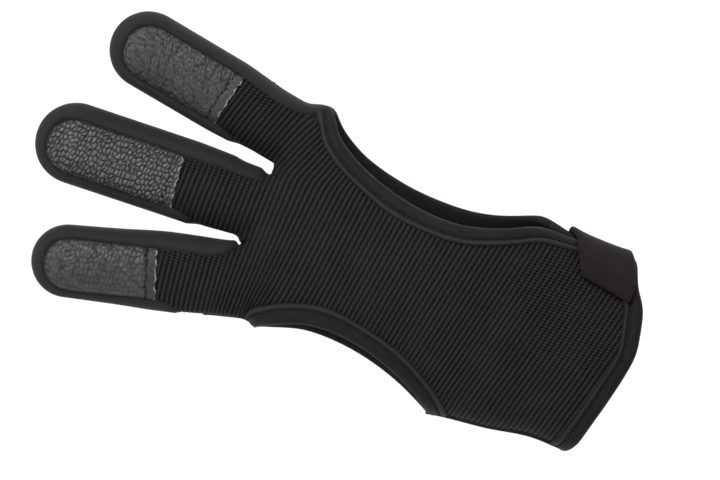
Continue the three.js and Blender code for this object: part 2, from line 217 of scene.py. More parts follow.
def palm_field(p, grow):
    """Roughly the distance outside the palm's form, made thicker by grow."""
    x, y, z = p[..., 0], p[..., 1], p[..., 2]
    middle, half, palm, back = palm_shape(x)
    half = half + grow
    deep = np.where(y < 0, palm, back) + grow
    web_z, web_reach, web_wide = LOW_WEB
    web = web_reach * np.exp(-((z - web_z) / web_wide) ** 2)
    over = PALM_LENGTH * (PALM_TIP - PALM_END) + grow + web
    t = np.maximum(0, -x - PALM_END * PALM_LENGTH) / over
    u = np.abs(z - middle) / half
    w = np.abs(y) / deep
    v = np.sqrt(w * w + t * t) + 1e-9
    n = PALM_POWER
    size = np.maximum(u**n + v**n, 1e-6) ** (1 / n)
    du = size ** (1 - n) * u ** (n - 1)
    dv = size ** (1 - n) * v ** (n - 1)
    slope = np.sqrt((du / half) ** 2 + (dv * w / v / deep) ** 2 + (dv * t / v / over) ** 2)
    return (size - 1) / np.maximum(slope, 1e-3)


def middle_at(x):
    """The Y of the hand's middle: the fingers curl towards the palm."""
    return -FINGER_CURL * (np.maximum(0, -x - PALM_LENGTH) / FINGER_LENGTH) ** 2


for name, finger in FINGERS.items():
    lean = math.radians(finger["lean"])
    root, joint, tip = (share * FINGER_BREADTH / 2 for share in finger["breadth"])
    finger["name"] = name
    finger["forward"] = np.array([-math.cos(lean), 0.0, math.sin(lean)])
    finger["side"] = np.array([math.sin(lean), 0.0, math.cos(lean)])
    finger["start"] = np.array([-PALM_LENGTH, 0.0, finger["root"] * PALM_BREADTH])
    finger["long"] = finger["length"] * FINGER_LENGTH
    finger["tip_radius"] = tip
    finger["tip_centre"] = finger["long"] - tip
    rows = FINGER_SECTIONS
    along = rows[:, 0] * finger["tip_centre"]
    finger["half"] = eased(along, rows[:, 1] * root + rows[:, 2] * joint + rows[:, 3] * tip)
    finger["deep"] = eased(along, rows[:, 4] * finger["depth"] * FINGER_DEPTH / 2)
    finger["stall_half"] = joint + SMOOTH_WALL
    finger["pad_tip"] = finger["long"] + SMOOTH_WALL - finger["border"] * TIP_BORDER
    finger["pad_start"] = finger["pad_tip"] - finger["pad"] * PAD_LENGTH


def on_axis(finger, distance, across=0.0):
    """A point in the middle of a finger's depth."""
    distance, across = np.broadcast_arrays(np.asarray(distance, float), across)
    point = (finger["start"] + distance[..., None] * finger["forward"]
             + across[..., None] * finger["side"])
    point[..., 1] = middle_at(point[..., 0])
    return point


def from_root(finger, p):
    """How far along a finger from its root, and how far across from its axis, points lie in plan."""
    q = p - finger["start"]
    return (q[..., 0] * way[0] + q[..., 2] * way[2] for way in (finger["forward"], finger["side"]))


def finger_field(finger, p, grow):
    """Roughly the distance outside a finger's form, made thicker by grow."""
    s, c = from_root(finger, p)
    y = p[..., 1] - middle_at(p[..., 0])
    half = finger["half"](s) + grow
    deep = finger["deep"](s) + grow
    over = finger["tip_radius"] + grow
    t = np.maximum(0, s - finger["tip_centre"]) / over
    u, v = np.abs(c) / half, np.abs(y) / deep
    n = FINGER_POWER
    flat = np.maximum(u**n + v**n, 1e-6) ** (1 / n)
    size = np.sqrt(flat * flat + t * t)
    slope = np.sqrt((flat ** (1 - n) * u ** (n - 1) / half) ** 2
                    + (flat ** (1 - n) * v ** (n - 1) / deep) ** 2)
    slope = np.sqrt((slope * flat / size) ** 2 + (t / size / over) ** 2)
    return (size - 1) / np.maximum(slope, 1e-3)


def blended(a, b, width):
    """The nearer of two forms, with a fillet between them."""
    h = np.maximum(width - np.abs(a - b), 0) / width
    return np.minimum(a, b) - h * h * width / 4


def hand_field(p, grow):
    parts = [finger_field(finger, p, grow) for finger in FINGERS.values()]
    fingers = blended(blended(parts[0], parts[1], FINGER_BLEND), parts[2], FINGER_BLEND)
    return blended(palm_field(p, grow), fingers, WEB_BLEND)


def cast(base, way, grow, field=hand_field, reach=HAND_REACH):
    """Where a ray from inside leaves the form, found from outside by Newton's method."""
    base, way = np.broadcast_arrays(base, way)
    t = np.full(base.shape[:-1], 1.0) * reach
    small, least_slope = 0.05, 0.08
    for _ in range(9):
        here = field(base + way * t[..., None], grow)
        ahead = field(base + way * (t + small)[..., None], grow)
        t = np.clip(t - here / np.maximum((ahead - here) / small, least_slope), 0.0, reach)
    return base + way * t[..., None]


def normal_at(p, grow, field=hand_field):
    small = 0.04
    here = field(p, grow)
    steps = [field(p + small * np.eye(3)[i], grow) - here for i in range(3)]
    return unit(np.stack(steps, -1))


def on_form(p):
    """The nearest places on the bare hand."""
    for _ in range(3):
        p = p - hand_field(p, 0.0)[..., None] * normal_at(p, 0.0)
    return p


def in_middle(x, z):
    """Points in the middle of the hand's depth, from their place in plan."""
    return np.stack([x, middle_at(x), z], -1)


# Rays round the palm. side is -1 on the palm and 1 on the back. tau runs across the flat part in
# millimetres of Z, then round the edge by its angle.

def flat_ends(x, side):
    middle, half, palm, back = palm_shape(x)
    deep = np.minimum(np.where(side < 0, palm, back), half)
    return middle - (half - deep), middle + (half - deep), deep


def tau_of(x, z, side):
    low, high, deep = flat_ends(x, side)
    cloth = 1.5
    below = low - deep * np.arcsin(np.clip((low - z) / (deep + cloth), 0, 1))
    above = high + deep * np.arcsin(np.clip((z - high) / (deep + cloth), 0, 1))
    return np.where(z < low, below, np.where(z > high, above, z))


def edge_angle(tau, low, high, deep):
    """How far a ray has turned round the edge; 0 over the flat part."""
    return (np.maximum(tau - high, 0) - np.maximum(low - tau, 0)) / deep


def plan_z(x, tau, side):
    low, high, deep = flat_ends(x, side)
    angle = edge_angle(tau, low, high, deep)
    return np.clip(tau, low, high) + deep * np.sin(np.clip(angle, -math.pi / 2, math.pi / 2))


def tau_ends(x, side):
    low, high, deep = flat_ends(x, side)
    return low - deep * math.pi / 2, high + deep * math.pi / 2


def palm_ray(x, tau, side):
    x, tau = np.broadcast_arrays(x, tau)
    low, high, deep = flat_ends(x, side)
    angle = edge_angle(tau, low, high, deep)
    base = in_middle(x, np.clip(tau, low, high))
    way = np.stack([np.zeros_like(angle), side * np.cos(angle), np.sin(angle)], -1)
    return base, way


def round_palm(x, tau, side, grow):
    base, way = palm_ray(x, tau, side)
    return cast(base, way, grow)


# Meshes

def linked(name, data, material=None):
    """A new object in the scene, from its mesh, light or camera."""
    piece = bpy.data.objects.new(name, data)
    bpy.context.scene.collection.objects.link(piece)
    if material:
        data.materials.append(material)
    return piece


class Sheet:
    """Collects grids of points in millimetres and makes one mesh of them."""

    def __init__(self):
        self.points, self.faces, self.values, self.count = [], [], {}, 0

    def block(self, points, values):
        flat = points.reshape(-1, 3)
        self.points.append(flat)
        for key in {**self.values, **values}:
            known = self.values.setdefault(key, [np.zeros(self.count)] if self.count else [])
            value = values.get(key, 0.0)
            known.append(np.broadcast_to(value, points.shape[:-1]).reshape(-1).astype(float))
        index = np.arange(self.count, self.count + len(flat)).reshape(points.shape[:-1])
        self.count += len(flat)
        return index

    def quads(self, a, b, c, d, flip):
        rows = np.stack([x.reshape(-1) for x in (a, b, c, d)], 1)
        self.faces.append(rows[:, ::-1] if flip else rows)

    def shell(self, outer, inner, **values):
        """A closed wall between two grids of equal size."""
        o, i = self.block(outer, values), self.block(inner, {**values, "hidden": 1.0})
        across = np.cross(outer[1:, :-1] - outer[:-1, :-1], outer[:-1, 1:] - outer[:-1, :-1])
        flip = float(np.sum(across * (outer - inner)[:-1, :-1])) < 0
        self.quads(o[:-1, :-1], o[1:, :-1], o[1:, 1:], o[:-1, 1:], flip)
        self.quads(i[:-1, :-1], i[:-1, 1:], i[1:, 1:], i[1:, :-1], flip)
        self.quads(o[0, :-1], o[0, 1:], i[0, 1:], i[0, :-1], flip)
        self.quads(o[-1, 1:], o[-1, :-1], i[-1, :-1], i[-1, 1:], flip)
        self.quads(o[1:, 0], o[:-1, 0], i[:-1, 0], i[1:, 0], flip)
        self.quads(o[:-1, -1], o[1:, -1], i[1:, -1], i[:-1, -1], flip)
        return self

    def tube(self, rings, closed, **values):
        """A swept section: rings is (along, round, 3). Open ends get a cap."""
        r = self.block(rings, values)
        centre = rings.mean(1, keepdims=True)
        nxt = np.roll(r, -1, axis=1)
        across = np.cross(rings[1:] - rings[:-1], np.roll(rings, -1, axis=1)[:-1] - rings[:-1])
        flip = float(np.sum(across * (rings - centre)[:-1])) < 0
        self.quads(r[:-1], r[1:], nxt[1:], nxt[:-1], flip)
        if closed:
            self.quads(r[-1], r[0], nxt[0], nxt[-1], flip)
        else:
            for ring, turn in ((0, not flip), (-1, flip)):
                hub = self.block(centre[ring][None], {k: np.mean(v) for k, v in values.items()})
                hubs = np.broadcast_to(hub.reshape(-1)[0], r[ring].shape)
                self.quads(hubs, r[ring], nxt[ring], nxt[ring], turn)
        return self

    def mesh(self, name, material):
        points = np.vstack(self.points)
        weld = 2e-4
        keys = np.round(points / weld).astype(np.int64)
        _, first, inverse = np.unique(keys, axis=0, return_index=True, return_inverse=True)
        inverse = inverse.reshape(-1)
        faces = []
        for face in inverse[np.vstack(self.faces)].tolist():
            slim = [v for k, v in enumerate(face) if v != face[k - 1]]
            if len(set(slim)) == len(slim) >= 3:
                faces.append(slim)
        data = bpy.data.meshes.new(name)
        data.from_pydata((points[first] * MM).tolist(), [], faces)
        for key, parts in self.values.items():
            data.attributes.new(key, "FLOAT", "POINT").data.foreach_set(
                "value", np.concatenate(parts)[first].astype(np.float32)
            )
        uv = data.uv_layers.new(name="cloth")
        corner = np.zeros(len(data.loops), np.int32)
        data.loops.foreach_get("vertex_index", corner)
        both = np.stack([np.concatenate(self.values[k])[first][corner] for k in "uv"], 1)
        uv.data.foreach_set("uv", both.reshape(-1).astype(np.float32))
        data.polygons.foreach_set("use_smooth", np.ones(len(data.polygons), bool))
        data.validate()
        data.update()
        return linked(name, data, material)


# Node trees

# Places of sockets on nodes whose sockets share a name
OBJECT_COORDINATES = 3
ATTRIBUTE_NUMBER = 2
MIX_FACTOR, MIX_A, MIX_B, MIX_RESULT = 0, 6, 7, 2
COURSE_PITCH = 1.0
WALE_PITCH = 0.5


class Value:
    """A socket that takes part in Python arithmetic by adding Math nodes."""

    def __init__(self, nodes, socket):
        self.nodes, self.socket = nodes, socket

    def maths(self, operation, *others, **settings):
        return self.nodes.add("ShaderNodeMath", {"operation": operation, **settings},
                              dict(enumerate((self, *others))))

    def __add__(self, other):
        return self.maths("ADD", other)

    def __sub__(self, other):
        return self.maths("SUBTRACT", other)

    def __mul__(self, other):
        return self.maths("MULTIPLY", other)

    def __rsub__(self, other):
        return self.nodes.add("ShaderNodeMath", {"operation": "SUBTRACT"}, {0: other, 1: self})

    def __pow__(self, other):
        return self.maths("POWER", other)

    __radd__ = __add__
    __rmul__ = __mul__

    def held(self):
        return self.maths("ADD", 0.0, use_clamp=True)

    def sine(self):
        return self.maths("SINE")


class Nodes:
    """Adds nodes to a tree: a type, its settings, then values or links for its sockets."""

    def __init__(self, tree):
        self.tree = tree

    def add(self, kind, settings=None, sockets=None, out=0):
        node = self.tree.nodes.new(kind)
        for key, value in (settings or {}).items():
            setattr(node, key, value)
        for key, value in (sockets or {}).items():
            if isinstance(value, Value):
                self.tree.links.new(value.socket, node.inputs[key])
            else:
                node.inputs[key].default_value = value
        return Value(self, node.outputs[out]) if node.outputs else None


def finish_of(name, surface, colour, roughness, bump, specular, sheen=0.0):
    """A material from functions of its Nodes; bump gives height in millimetres."""
    material = bpy.data.materials.new(name)
    material.use_nodes = True
    tree = material.node_tree
    tree.nodes.clear()
    nodes = Nodes(tree)
    shared = surface(nodes)
    sockets = {"Base Color": colour(nodes, shared), "Roughness": roughness(nodes, shared),
               "Sheen Weight": sheen, "Sheen Roughness": 0.45, "Specular IOR Level": specular}
    sockets["Normal"] = nodes.add(
        "ShaderNodeBump", {}, {"Height": bump(nodes, shared), "Distance": MM, "Strength": 1.0}
    )
    shader = nodes.add("ShaderNodeBsdfPrincipled", {}, sockets)
    nodes.add("ShaderNodeOutputMaterial", {}, {"Surface": shader})
    return material


def noise(nodes, scale, detail=3.0):
    """Noise on Object coordinates; scale is in bumps for each millimetre."""
    place = nodes.add("ShaderNodeTexCoord", out=OBJECT_COORDINATES)
    return nodes.add("ShaderNodeTexNoise", {}, {
        "Vector": place, "Scale": scale / MM, "Detail": detail, "Roughness": 0.6,
    })


def attribute(nodes, name):
    return nodes.add("ShaderNodeAttribute", {"attribute_name": name}, out=ATTRIBUTE_NUMBER)


def mixed(nodes, factor, a, b):
    return nodes.add("ShaderNodeMix", {"data_type": "RGBA"},
                     {MIX_FACTOR: factor, MIX_A: a, MIX_B: b}, out=MIX_RESULT)


def between(nodes, factor, dark, light):
    return mixed(nodes, factor, (*dark, 1.0), (*light, 1.0))


def cloth_lines(nodes):
    """The two directions of the cloth's own map, in millimetres."""
    uv = nodes.add("ShaderNodeUVMap", {"uv_map": "cloth"})
    split = nodes.add("ShaderNodeSeparateXYZ", {}, {0: uv})
    return split, Value(nodes, split.socket.node.outputs[1])


def knit_surface(nodes):
    u, v = cloth_lines(nodes)
    crest = attribute(nodes, "crest")
    waffle = attribute(nodes, "waffle")
    course = (v * (math.tau / COURSE_PITCH)).sine()
    wale = (u * (math.tau / WALE_PITCH)).sine()
    return dict(crest=crest, waffle=waffle, course=course, wale=wale,
                patch=noise(nodes, 0.06), fibre=noise(nodes, 3.2, 2.0))


# The knit is painted lighter on the rib crests and darker in the grooves, as painted highlight and painted
# shade. On the waffle it is also painted lighter where the courses' bump rises, as painted highlight.
ribbed_knit = finish_of(
    "ribbed_knit", knit_surface,
    lambda n, s: between(
        n, (s["crest"] * 0.85 + s["patch"] * 0.35 + s["fibre"] * 0.3 - 0.38
            + s["course"] * s["waffle"] * 0.4).held(),
        (0.0006, 0.0005, 0.0006), (0.0165, 0.015, 0.0156)),
    lambda n, s: 0.95 - s["crest"] * 0.2,
    bump=lambda n, s: s["fibre"] * 0.07 + s["course"] * (0.012 + s["waffle"] * 0.09)
    + s["wale"] * 0.008,
    specular=0.07,
)


def smooth_surface(nodes):
    return dict(patch=noise(nodes, 0.05), fibre=noise(nodes, 4.0, 2.0), soft=noise(nodes, 0.5, 3.0))


smooth_stretch = finish_of(
    "smooth_stretch", smooth_surface,
    lambda n, s: between(n, (s["patch"] * 0.6 + s["fibre"] * 0.35 + s["soft"] * 0.2 - 0.05).held(),
                         (0.0065, 0.0059, 0.0062), (0.0165, 0.0154, 0.016)),
    lambda n, s: 0.72 + s["soft"] * 0.2,
    sheen=0.01,
    bump=lambda n, s: s["fibre"] * 0.03 + s["soft"] * 0.06,
    specular=0.13,
)


def leather_surface(nodes):
    return dict(top=attribute(nodes, "top"), raw=attribute(nodes, "raw"), patch=noise(nodes, 0.09),
                grain=noise(nodes, 2.4, 4.0), fine=noise(nodes, 6.0, 3.0))


def leather_colour(n, s):
    # top carries painted highlight on the pebbles' tops and painted shade in creases, wrinkles, the groove,
    # the crevice round the rim and towards the lower side
    skin = between(n, (s["top"] + s["patch"] * 0.3 + s["grain"] * 0.2 - 0.28).held(),
                   (0.0012, 0.0012, 0.0013), (0.052, 0.0505, 0.0515))
    cut = between(n, s["grain"], (0.04, 0.0395, 0.039), (0.36, 0.355, 0.35))
    return mixed(n, s["raw"], skin, cut)


pad_leather = finish_of(
    "pad_leather", leather_surface, leather_colour,
    lambda n, s: 0.62 - s["top"] * 0.26 + s["raw"] * 0.3,
    bump=lambda n, s: s["grain"] * 0.05 + s["fine"] * 0.02,
    specular=0.42,
)


def tape_surface(nodes):
    return dict(patch=noise(nodes, 0.07), fibre=noise(nodes, 4.5, 2.0),
                cool=attribute(nodes, "cool"), ridge=attribute(nodes, "ridge"))


def tape_colour(n, s):
    # the ridge's crest is painted lighter, as painted highlight
    share = (s["patch"] * 0.45 + s["fibre"] * 0.3 + s["ridge"] * 0.75 - 0.14).held()
    warm = between(n, share, (0.0034, 0.0028, 0.0029), (0.018, 0.016, 0.0163))
    # the darker, bluish tape: the darkening is painted shade, the blue the tape's own tint
    cool = between(n, share, (0.0016, 0.0017, 0.0022), (0.0108, 0.0105, 0.0119))
    return mixed(n, s["cool"], warm, cool)


binding_tape = finish_of(
    "binding", tape_surface, tape_colour,
    lambda n, s: 0.62 + s["fibre"] * 0.2,
    sheen=0.01,
    bump=lambda n, s: s["fibre"] * 0.035,
    specular=0.1,
)

strap_tape = finish_of(
    "strap", lambda n: dict(patch=noise(n, 0.08), loop=noise(n, 2.2, 3.0), fibre=noise(n, 6.0, 2.0)),
    lambda n, s: between(n, (s["patch"] * 0.4 + s["loop"] * 0.5 - 0.05).held(),
                         (0.0046, 0.0033, 0.0041), (0.0115, 0.0084, 0.0101)),
    lambda n, s: 0.88 + s["loop"] * 0.1,
    sheen=0.015,
    bump=lambda n, s: s["loop"] * 0.09 + s["fibre"] * 0.03,
    specular=0.1,
)

thread = finish_of(
    "thread", lambda n: dict(fibre=noise(n, 7.0, 2.0)),
    lambda n, s: between(n, s["fibre"], (0.001, 0.0009, 0.001), (0.0062, 0.0058, 0.0062)),
    lambda n, s: 0.55 + s["fibre"] * 0.2,
    bump=lambda n, s: s["fibre"] * 0.03,
    specular=0.14,
)


# Geometry Nodes

def geometry_tree(name, sizes):
    """A tree with a geometry in and out, and named inputs for its sizes."""
    tree = bpy.data.node_groups.new(name, "GeometryNodeTree")
    tree.interface.new_socket("Geometry", in_out="INPUT", socket_type="NodeSocketGeometry")
    tree.interface.new_socket("Geometry", in_out="OUTPUT", socket_type="NodeSocketGeometry")
    for size, value in sizes.items():
        socket = tree.interface.new_socket(size, in_out="INPUT", socket_type="NodeSocketFloat")
        socket.default_value = value
    nodes = Nodes(tree)
    start = tree.nodes.new("NodeGroupInput")
    inputs = {s.name: Value(nodes, s) for s in start.outputs if s.name}
    return tree, nodes, inputs


def named(nodes, name, kind="FLOAT"):
    return nodes.add("GeometryNodeInputNamedAttribute", {"data_type": kind}, {"Name": name})


def closed_tree(nodes, geometry, material):
    real = nodes.add("GeometryNodeRealizeInstances", {}, {0: geometry})
    done = nodes.add("GeometryNodeSetMaterial", {}, {"Geometry": real, "Material": material})
    nodes.add("NodeGroupOutput", {}, {0: done})


def grown(piece, tree, **sizes):
    """Runs a tree on a piece, and keeps the result as its plain mesh."""
    modifier = piece.modifiers.new(tree.name, "NODES")
    modifier.node_group = tree
    for item in tree.interface.items_tree:
        if item.in_out == "INPUT" and item.name in sizes:
            modifier[item.identifier] = sizes[item.name]
    bpy.context.view_layer.update()
    evaluated = piece.evaluated_get(bpy.context.evaluated_depsgraph_get())
    mesh = bpy.data.meshes.new_from_object(evaluated)
    piece.modifiers.clear()
    old, piece.data = piece.data, mesh
    mesh.name = piece.name
    bpy.data.meshes.remove(old)
    return piece


def rib_tree():
    """Raises ribs along the surface's normal, from the rib number kept on each point."""
    tree, nodes, size = geometry_tree("ribs", {"Height": RIB_HEIGHT * MM, "Fullness": 1.0})
    phase = named(nodes, "rib")
    crest = (phase * math.pi).sine().maths("ABSOLUTE") ** size["Fullness"]
    lift = crest * named(nodes, "rise") * size["Height"]
    normal = nodes.add("GeometryNodeInputNormal")
    offset = nodes.add("ShaderNodeVectorMath", {"operation": "SCALE"}, {0: normal, "Scale": lift})
    moved = nodes.add("GeometryNodeSetPosition", {}, {"Geometry": size["Geometry"], "Offset": offset})
    # keeps the crest's height, which the knit's colour uses for painted shade in the grooves and painted
    # highlight on the crests
    kept = nodes.add("GeometryNodeStoreNamedAttribute", {"data_type": "FLOAT", "domain": "POINT"},
                     {"Geometry": moved, "Name": "crest", "Value": crest})
    closed_tree(nodes, kept, ribbed_knit)
    return tree


def stitch_tree():
    """Lays stitches along paths. Each point of a path keeps the way up from the cloth."""
    tree, nodes, size = geometry_tree("stitches", {
        "Pitch": 2.4 * MM, "Length": 1.9 * MM, "Thickness": 0.5 * MM, "Slant": 0.0,
    })
    curve = nodes.add("GeometryNodeMeshToCurve", {}, {0: size["Geometry"]})
    spaced = nodes.add("GeometryNodeResampleCurve", {"mode": "LENGTH"},
                       {"Curve": curve, "Length": size["Pitch"]})
    ball = nodes.add("GeometryNodeMeshUVSphere", {}, {"Segments": 8, "Rings": 5, "Radius": 0.5})
    along = nodes.add("GeometryNodeInputTangent")
    aimed = nodes.add("FunctionNodeAlignRotationToVector", {"axis": "X"}, {"Vector": along})
    up = named(nodes, "up", "FLOAT_VECTOR")
    level = nodes.add("FunctionNodeAlignRotationToVector", {"axis": "Z", "pivot_axis": "X"},
                      {"Rotation": aimed, "Vector": up})
    turn = nodes.add("GeometryNodeInputIndex").maths("MODULO", 2.0) * 2.0 - 1.0
    slant = nodes.add("ShaderNodeCombineXYZ", {}, {"Z": turn * size["Slant"]})
    twist = nodes.add("FunctionNodeEulerToRotation", {}, {0: slant})
    lying = nodes.add("FunctionNodeRotateRotation", {"rotation_space": "LOCAL"},
                      {"Rotation": level, "Rotate By": twist})
    scale = nodes.add("ShaderNodeCombineXYZ", {},
                      {"X": size["Length"], "Y": size["Thickness"], "Z": size["Thickness"]})
    laid = nodes.add("GeometryNodeInstanceOnPoints", {},
                     {"Points": spaced, "Instance": ball, "Rotation": lying, "Scale": scale})
    smooth = nodes.add("GeometryNodeSetShadeSmooth", {},
                       {0: nodes.add("GeometryNodeRealizeInstances", {}, {0: laid})})
    closed_tree(nodes, smooth, thread)
    return tree


ribs = rib_tree()
stitches = stitch_tree()


def stitched(name, paths, slot, **sizes):
    """One piece of stitches along several paths, each a line of points with its way up."""
    points, ups, edges = [], [], []
    for line, up in paths:
        first = sum(len(p) for p in points)
        points.append(line)
        ups.append(up)
        edges += [(first + k, first + k + 1) for k in range(len(line) - 1)]
    data = bpy.data.meshes.new(name)
    data.from_pydata((np.vstack(points) * MM).tolist(), edges, [])
    data.attributes.new("up", "FLOAT_VECTOR", "POINT").data.foreach_set(
        "vector", np.vstack(ups).reshape(-1).astype(np.float32))
    kept_piece(grown(linked(name, data, thread), stitches, **sizes), slot)


def kept_piece(piece, slot, *nodes):
    """Puts a finished piece on the part's one body, in place of the named nodes, which it hides; slot is
    not used.
    """
    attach(piece, "root")
    if nodes:
        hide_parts(*nodes)


# Finger stalls

def rim_share(finger, distance):
    """1 where the ribbed cloth reaches the finger's lower side, 0 where the pad's border begins."""
    start, end = finger["rim"]
    return 1 - smoothstep(start, end + 1.0, distance)


def edge_across(finger, distance, upper, wall=RIM_WALL):
    """How far across the ribbed cloth or the pad reaches at a distance along a finger."""
    straight = finger["above" if upper else "below"] * finger["stall_half"]
    if upper:
        known = np.array(finger["upper"], float)
        return np.where(distance > known[-1, 0], straight, np.interp(distance, *known.T))
    rim = finger["half"](distance) + wall - RIM_TUCK
    share = rim_share(finger, distance)
    return -(rim * share + straight * (1 - share))


def window_line(finger):
    """The edge of the window in a stall, as distance and across, from the lower side's start
    round the pad's tip to the upper side's start."""
    above = finger["above"] * finger["stall_half"]
    below = finger["below"] * finger["stall_half"]
    radius = (above + below) / 2
    centre = finger["pad_tip"] - radius
    run = np.arange(finger["back_to"], centre, 0.4)
    angle = np.linspace(-math.pi / 2, math.pi / 2, 60)[1:-1]
    power = 2 / PAD_POWER
    wall = RIM_WALL + RIM_TUCK
    arc = np.stack([
        centre + radius * np.cos(angle) ** power,
        (above - below) / 2 + radius * np.sign(np.sin(angle)) * np.abs(np.sin(angle)) ** power,
    ], 1)
    low = np.stack([run, edge_across(finger, run, False, wall)], 1)
    high = np.stack([run, edge_across(finger, run, True, wall)], 1)[::-1]
    return np.vstack([low, arc, high])


def stall_field_of(finger):
    return lambda p, grow: blended(finger_field(finger, p, grow), palm_field(p, grow), WEB_BLEND)


# How high the smooth cloth stands, by its distance from the window's edge
border_height = eased([-1.2, -0.25, 0.0, 0.3, 0.9, 1.9, 3.6, 6.0],
                      [0.35, 0.4, 1.0, 2.0, 2.65, 2.95, 2.8, 2.6])


def make_stall(finger):
    field = stall_field_of(finger)
    line = window_line(finger)
    centre = finger["tip_centre"]
    run = np.append(np.arange(finger["back_to"], centre, 0.9), centre)
    turn = np.linspace(-90, 90, 45)[1:-1] * math.pi / 180
    # the way round the finger in plan: lower side, tip, upper side
    spot = np.concatenate([run, np.full(len(turn), centre), run[::-1]])
    angle = np.concatenate([np.full(len(run), -math.pi / 2), turn, np.full(len(run), math.pi / 2)])
    outward = (np.cos(angle)[:, None] * finger["forward"] + np.sin(angle)[:, None] * finger["side"])
    base = on_axis(finger, spot)[:, None, :]
    # distance across to the window's edge along each of those ways
    polar = np.arctan2(line[:, 1], line[:, 0] - centre)
    tip_part = line[:, 0] >= centre
    reach = np.interp(angle, polar[tip_part], np.hypot(line[tip_part, 0] - centre, line[tip_part, 1]))
    low_part = line[: np.argmax(tip_part)]
    high_part = line[len(line) - np.argmax(tip_part[::-1]):][::-1]
    reach = np.where(angle <= -math.pi / 2, -np.interp(spot, low_part[:, 0], low_part[:, 1]), reach)
    reach = np.where(angle >= math.pi / 2, np.interp(spot, high_part[:, 0], high_part[:, 1]), reach)

    def rays(psi):
        return np.cos(psi)[..., None] * FRONT + np.sin(psi)[..., None] * outward[:, None, :]

    tries = np.linspace(0, math.pi, 73)
    trial = np.broadcast_to(tries, (len(spot), len(tries)))
    surface = cast(base, rays(trial), 2.2, field, FINGER_REACH)
    spread = np.sum((surface - base) * outward[:, None, :], -1)
    edge = np.array([
        np.interp(w, s[: np.argmax(s) + 1], tries[: np.argmax(s) + 1]) for w, s in zip(reach, spread)
    ])
    edge = np.where(reach > spread.max(1) - 0.05, math.radians(96), edge)
    wide = 7
    edge = np.convolve(np.pad(edge, wide // 2, mode="edge"), np.ones(wide) / wide, "valid")
    # columns: under the window, down the border's wall, then round to the back
    under = np.linspace(0, 1, 5)[:-1]
    wall = np.array([-0.7, -0.3, -0.1, 0.05, 0.2, 0.4, 0.65, 1.0, 1.5, 2.2]) / FINGER_ARC
    start = edge[:, None] + wall[0]
    psi = np.concatenate([
        start * under, edge[:, None] + wall,
        (edge[:, None] + wall[-1]) + (math.pi - edge[:, None] - wall[-1]) * np.linspace(0, 1, 24)[1:],
    ], 1)
    grow = border_height((psi - edge[:, None]) * FINGER_ARC)
    # low beside the ribbed cloth where that reaches the finger's own side, and sunk past the webs
    sideways = turned(62, 88, edge)[:, None]
    round_side = turned(88, 104, psi)
    grow = np.minimum(grow, 3.2 - sideways * (1.9 - 1.1 * round_side))
    sink_low, sink_high = (eased(*zip(*finger[key]))(spot) for key in ("web_lower", "web_upper"))
    sink = np.where(angle < 0, sink_low, sink_high)
    grow = np.minimum(grow, sink[:, None] + 3.0 * turned(115, 150, psi))
    # the stall's start lies under the back's cloth
    back, low_start = turned(100, 140, psi), 1.5
    under_back = smoothstep(finger["back_to"], finger["back_to"] + 6, spot)[:, None]
    grow = grow * (1 - back) + (low_start + (SMOOTH_WALL - low_start) * under_back) * back
    outer = cast(base, rays(psi), grow, field, FINGER_REACH)
    inner = cast(base, rays(psi), INNER_GAP / 2, field, FINGER_REACH)
    sheet = Sheet().shell(outer, inner, u=spot[:, None] + 0 * psi, v=psi * FINGER_ARC)
    kept_piece(sheet.mesh(finger["name"] + "_stall_cloth", smooth_stretch),
               "smooth_stretch", finger["name"] + "_stall")


# Leather pads

def cells(u, v, size, seed):
    """Rounded cells on a jittered grid: height from 0 in the creases to 1 on top."""
    rng = np.random.default_rng(seed)
    count, freedom = 96, 0.8
    jitter = rng.random((count, count, 2)) * freedom
    iu, iv = np.floor(u / size).astype(int), np.floor(v / size).astype(int)
    nearest = np.full(u.shape, 9.0)
    second = np.full(u.shape, 9.0)
    for du in (-1, 0, 1):
        for dv in (-1, 0, 1):
            spot = jitter[(iu + du) % count, (iv + dv) % count]
            away = np.hypot(iu + du + spot[..., 0] - u / size, iv + dv + spot[..., 1] - v / size)
            second = np.where(away < nearest, nearest, np.minimum(second, away))
            nearest = np.minimum(nearest, away)
    return smoothstep(0.0, 0.5, second - nearest) * (1.08 - 0.45 * np.minimum(nearest, 1) ** 2)


def waves(u, v, seed, scale, count=7):
    """Soft seeded noise from a few crossing waves, from -1 to 1."""
    rng = np.random.default_rng(seed)
    total = np.zeros(np.broadcast(u, v).shape)
    whole_turn, loudness = 6.3, 1.6
    for _ in range(count):
        angle, pitch, phase = rng.random(3)
        k = math.tau / (scale * (0.6 + pitch))
        angle, phase = whole_turn * angle, whole_turn * phase
        total = total + np.sin(k * (u * math.cos(angle) + v * math.sin(angle)) + phase)
    return total / count * loudness


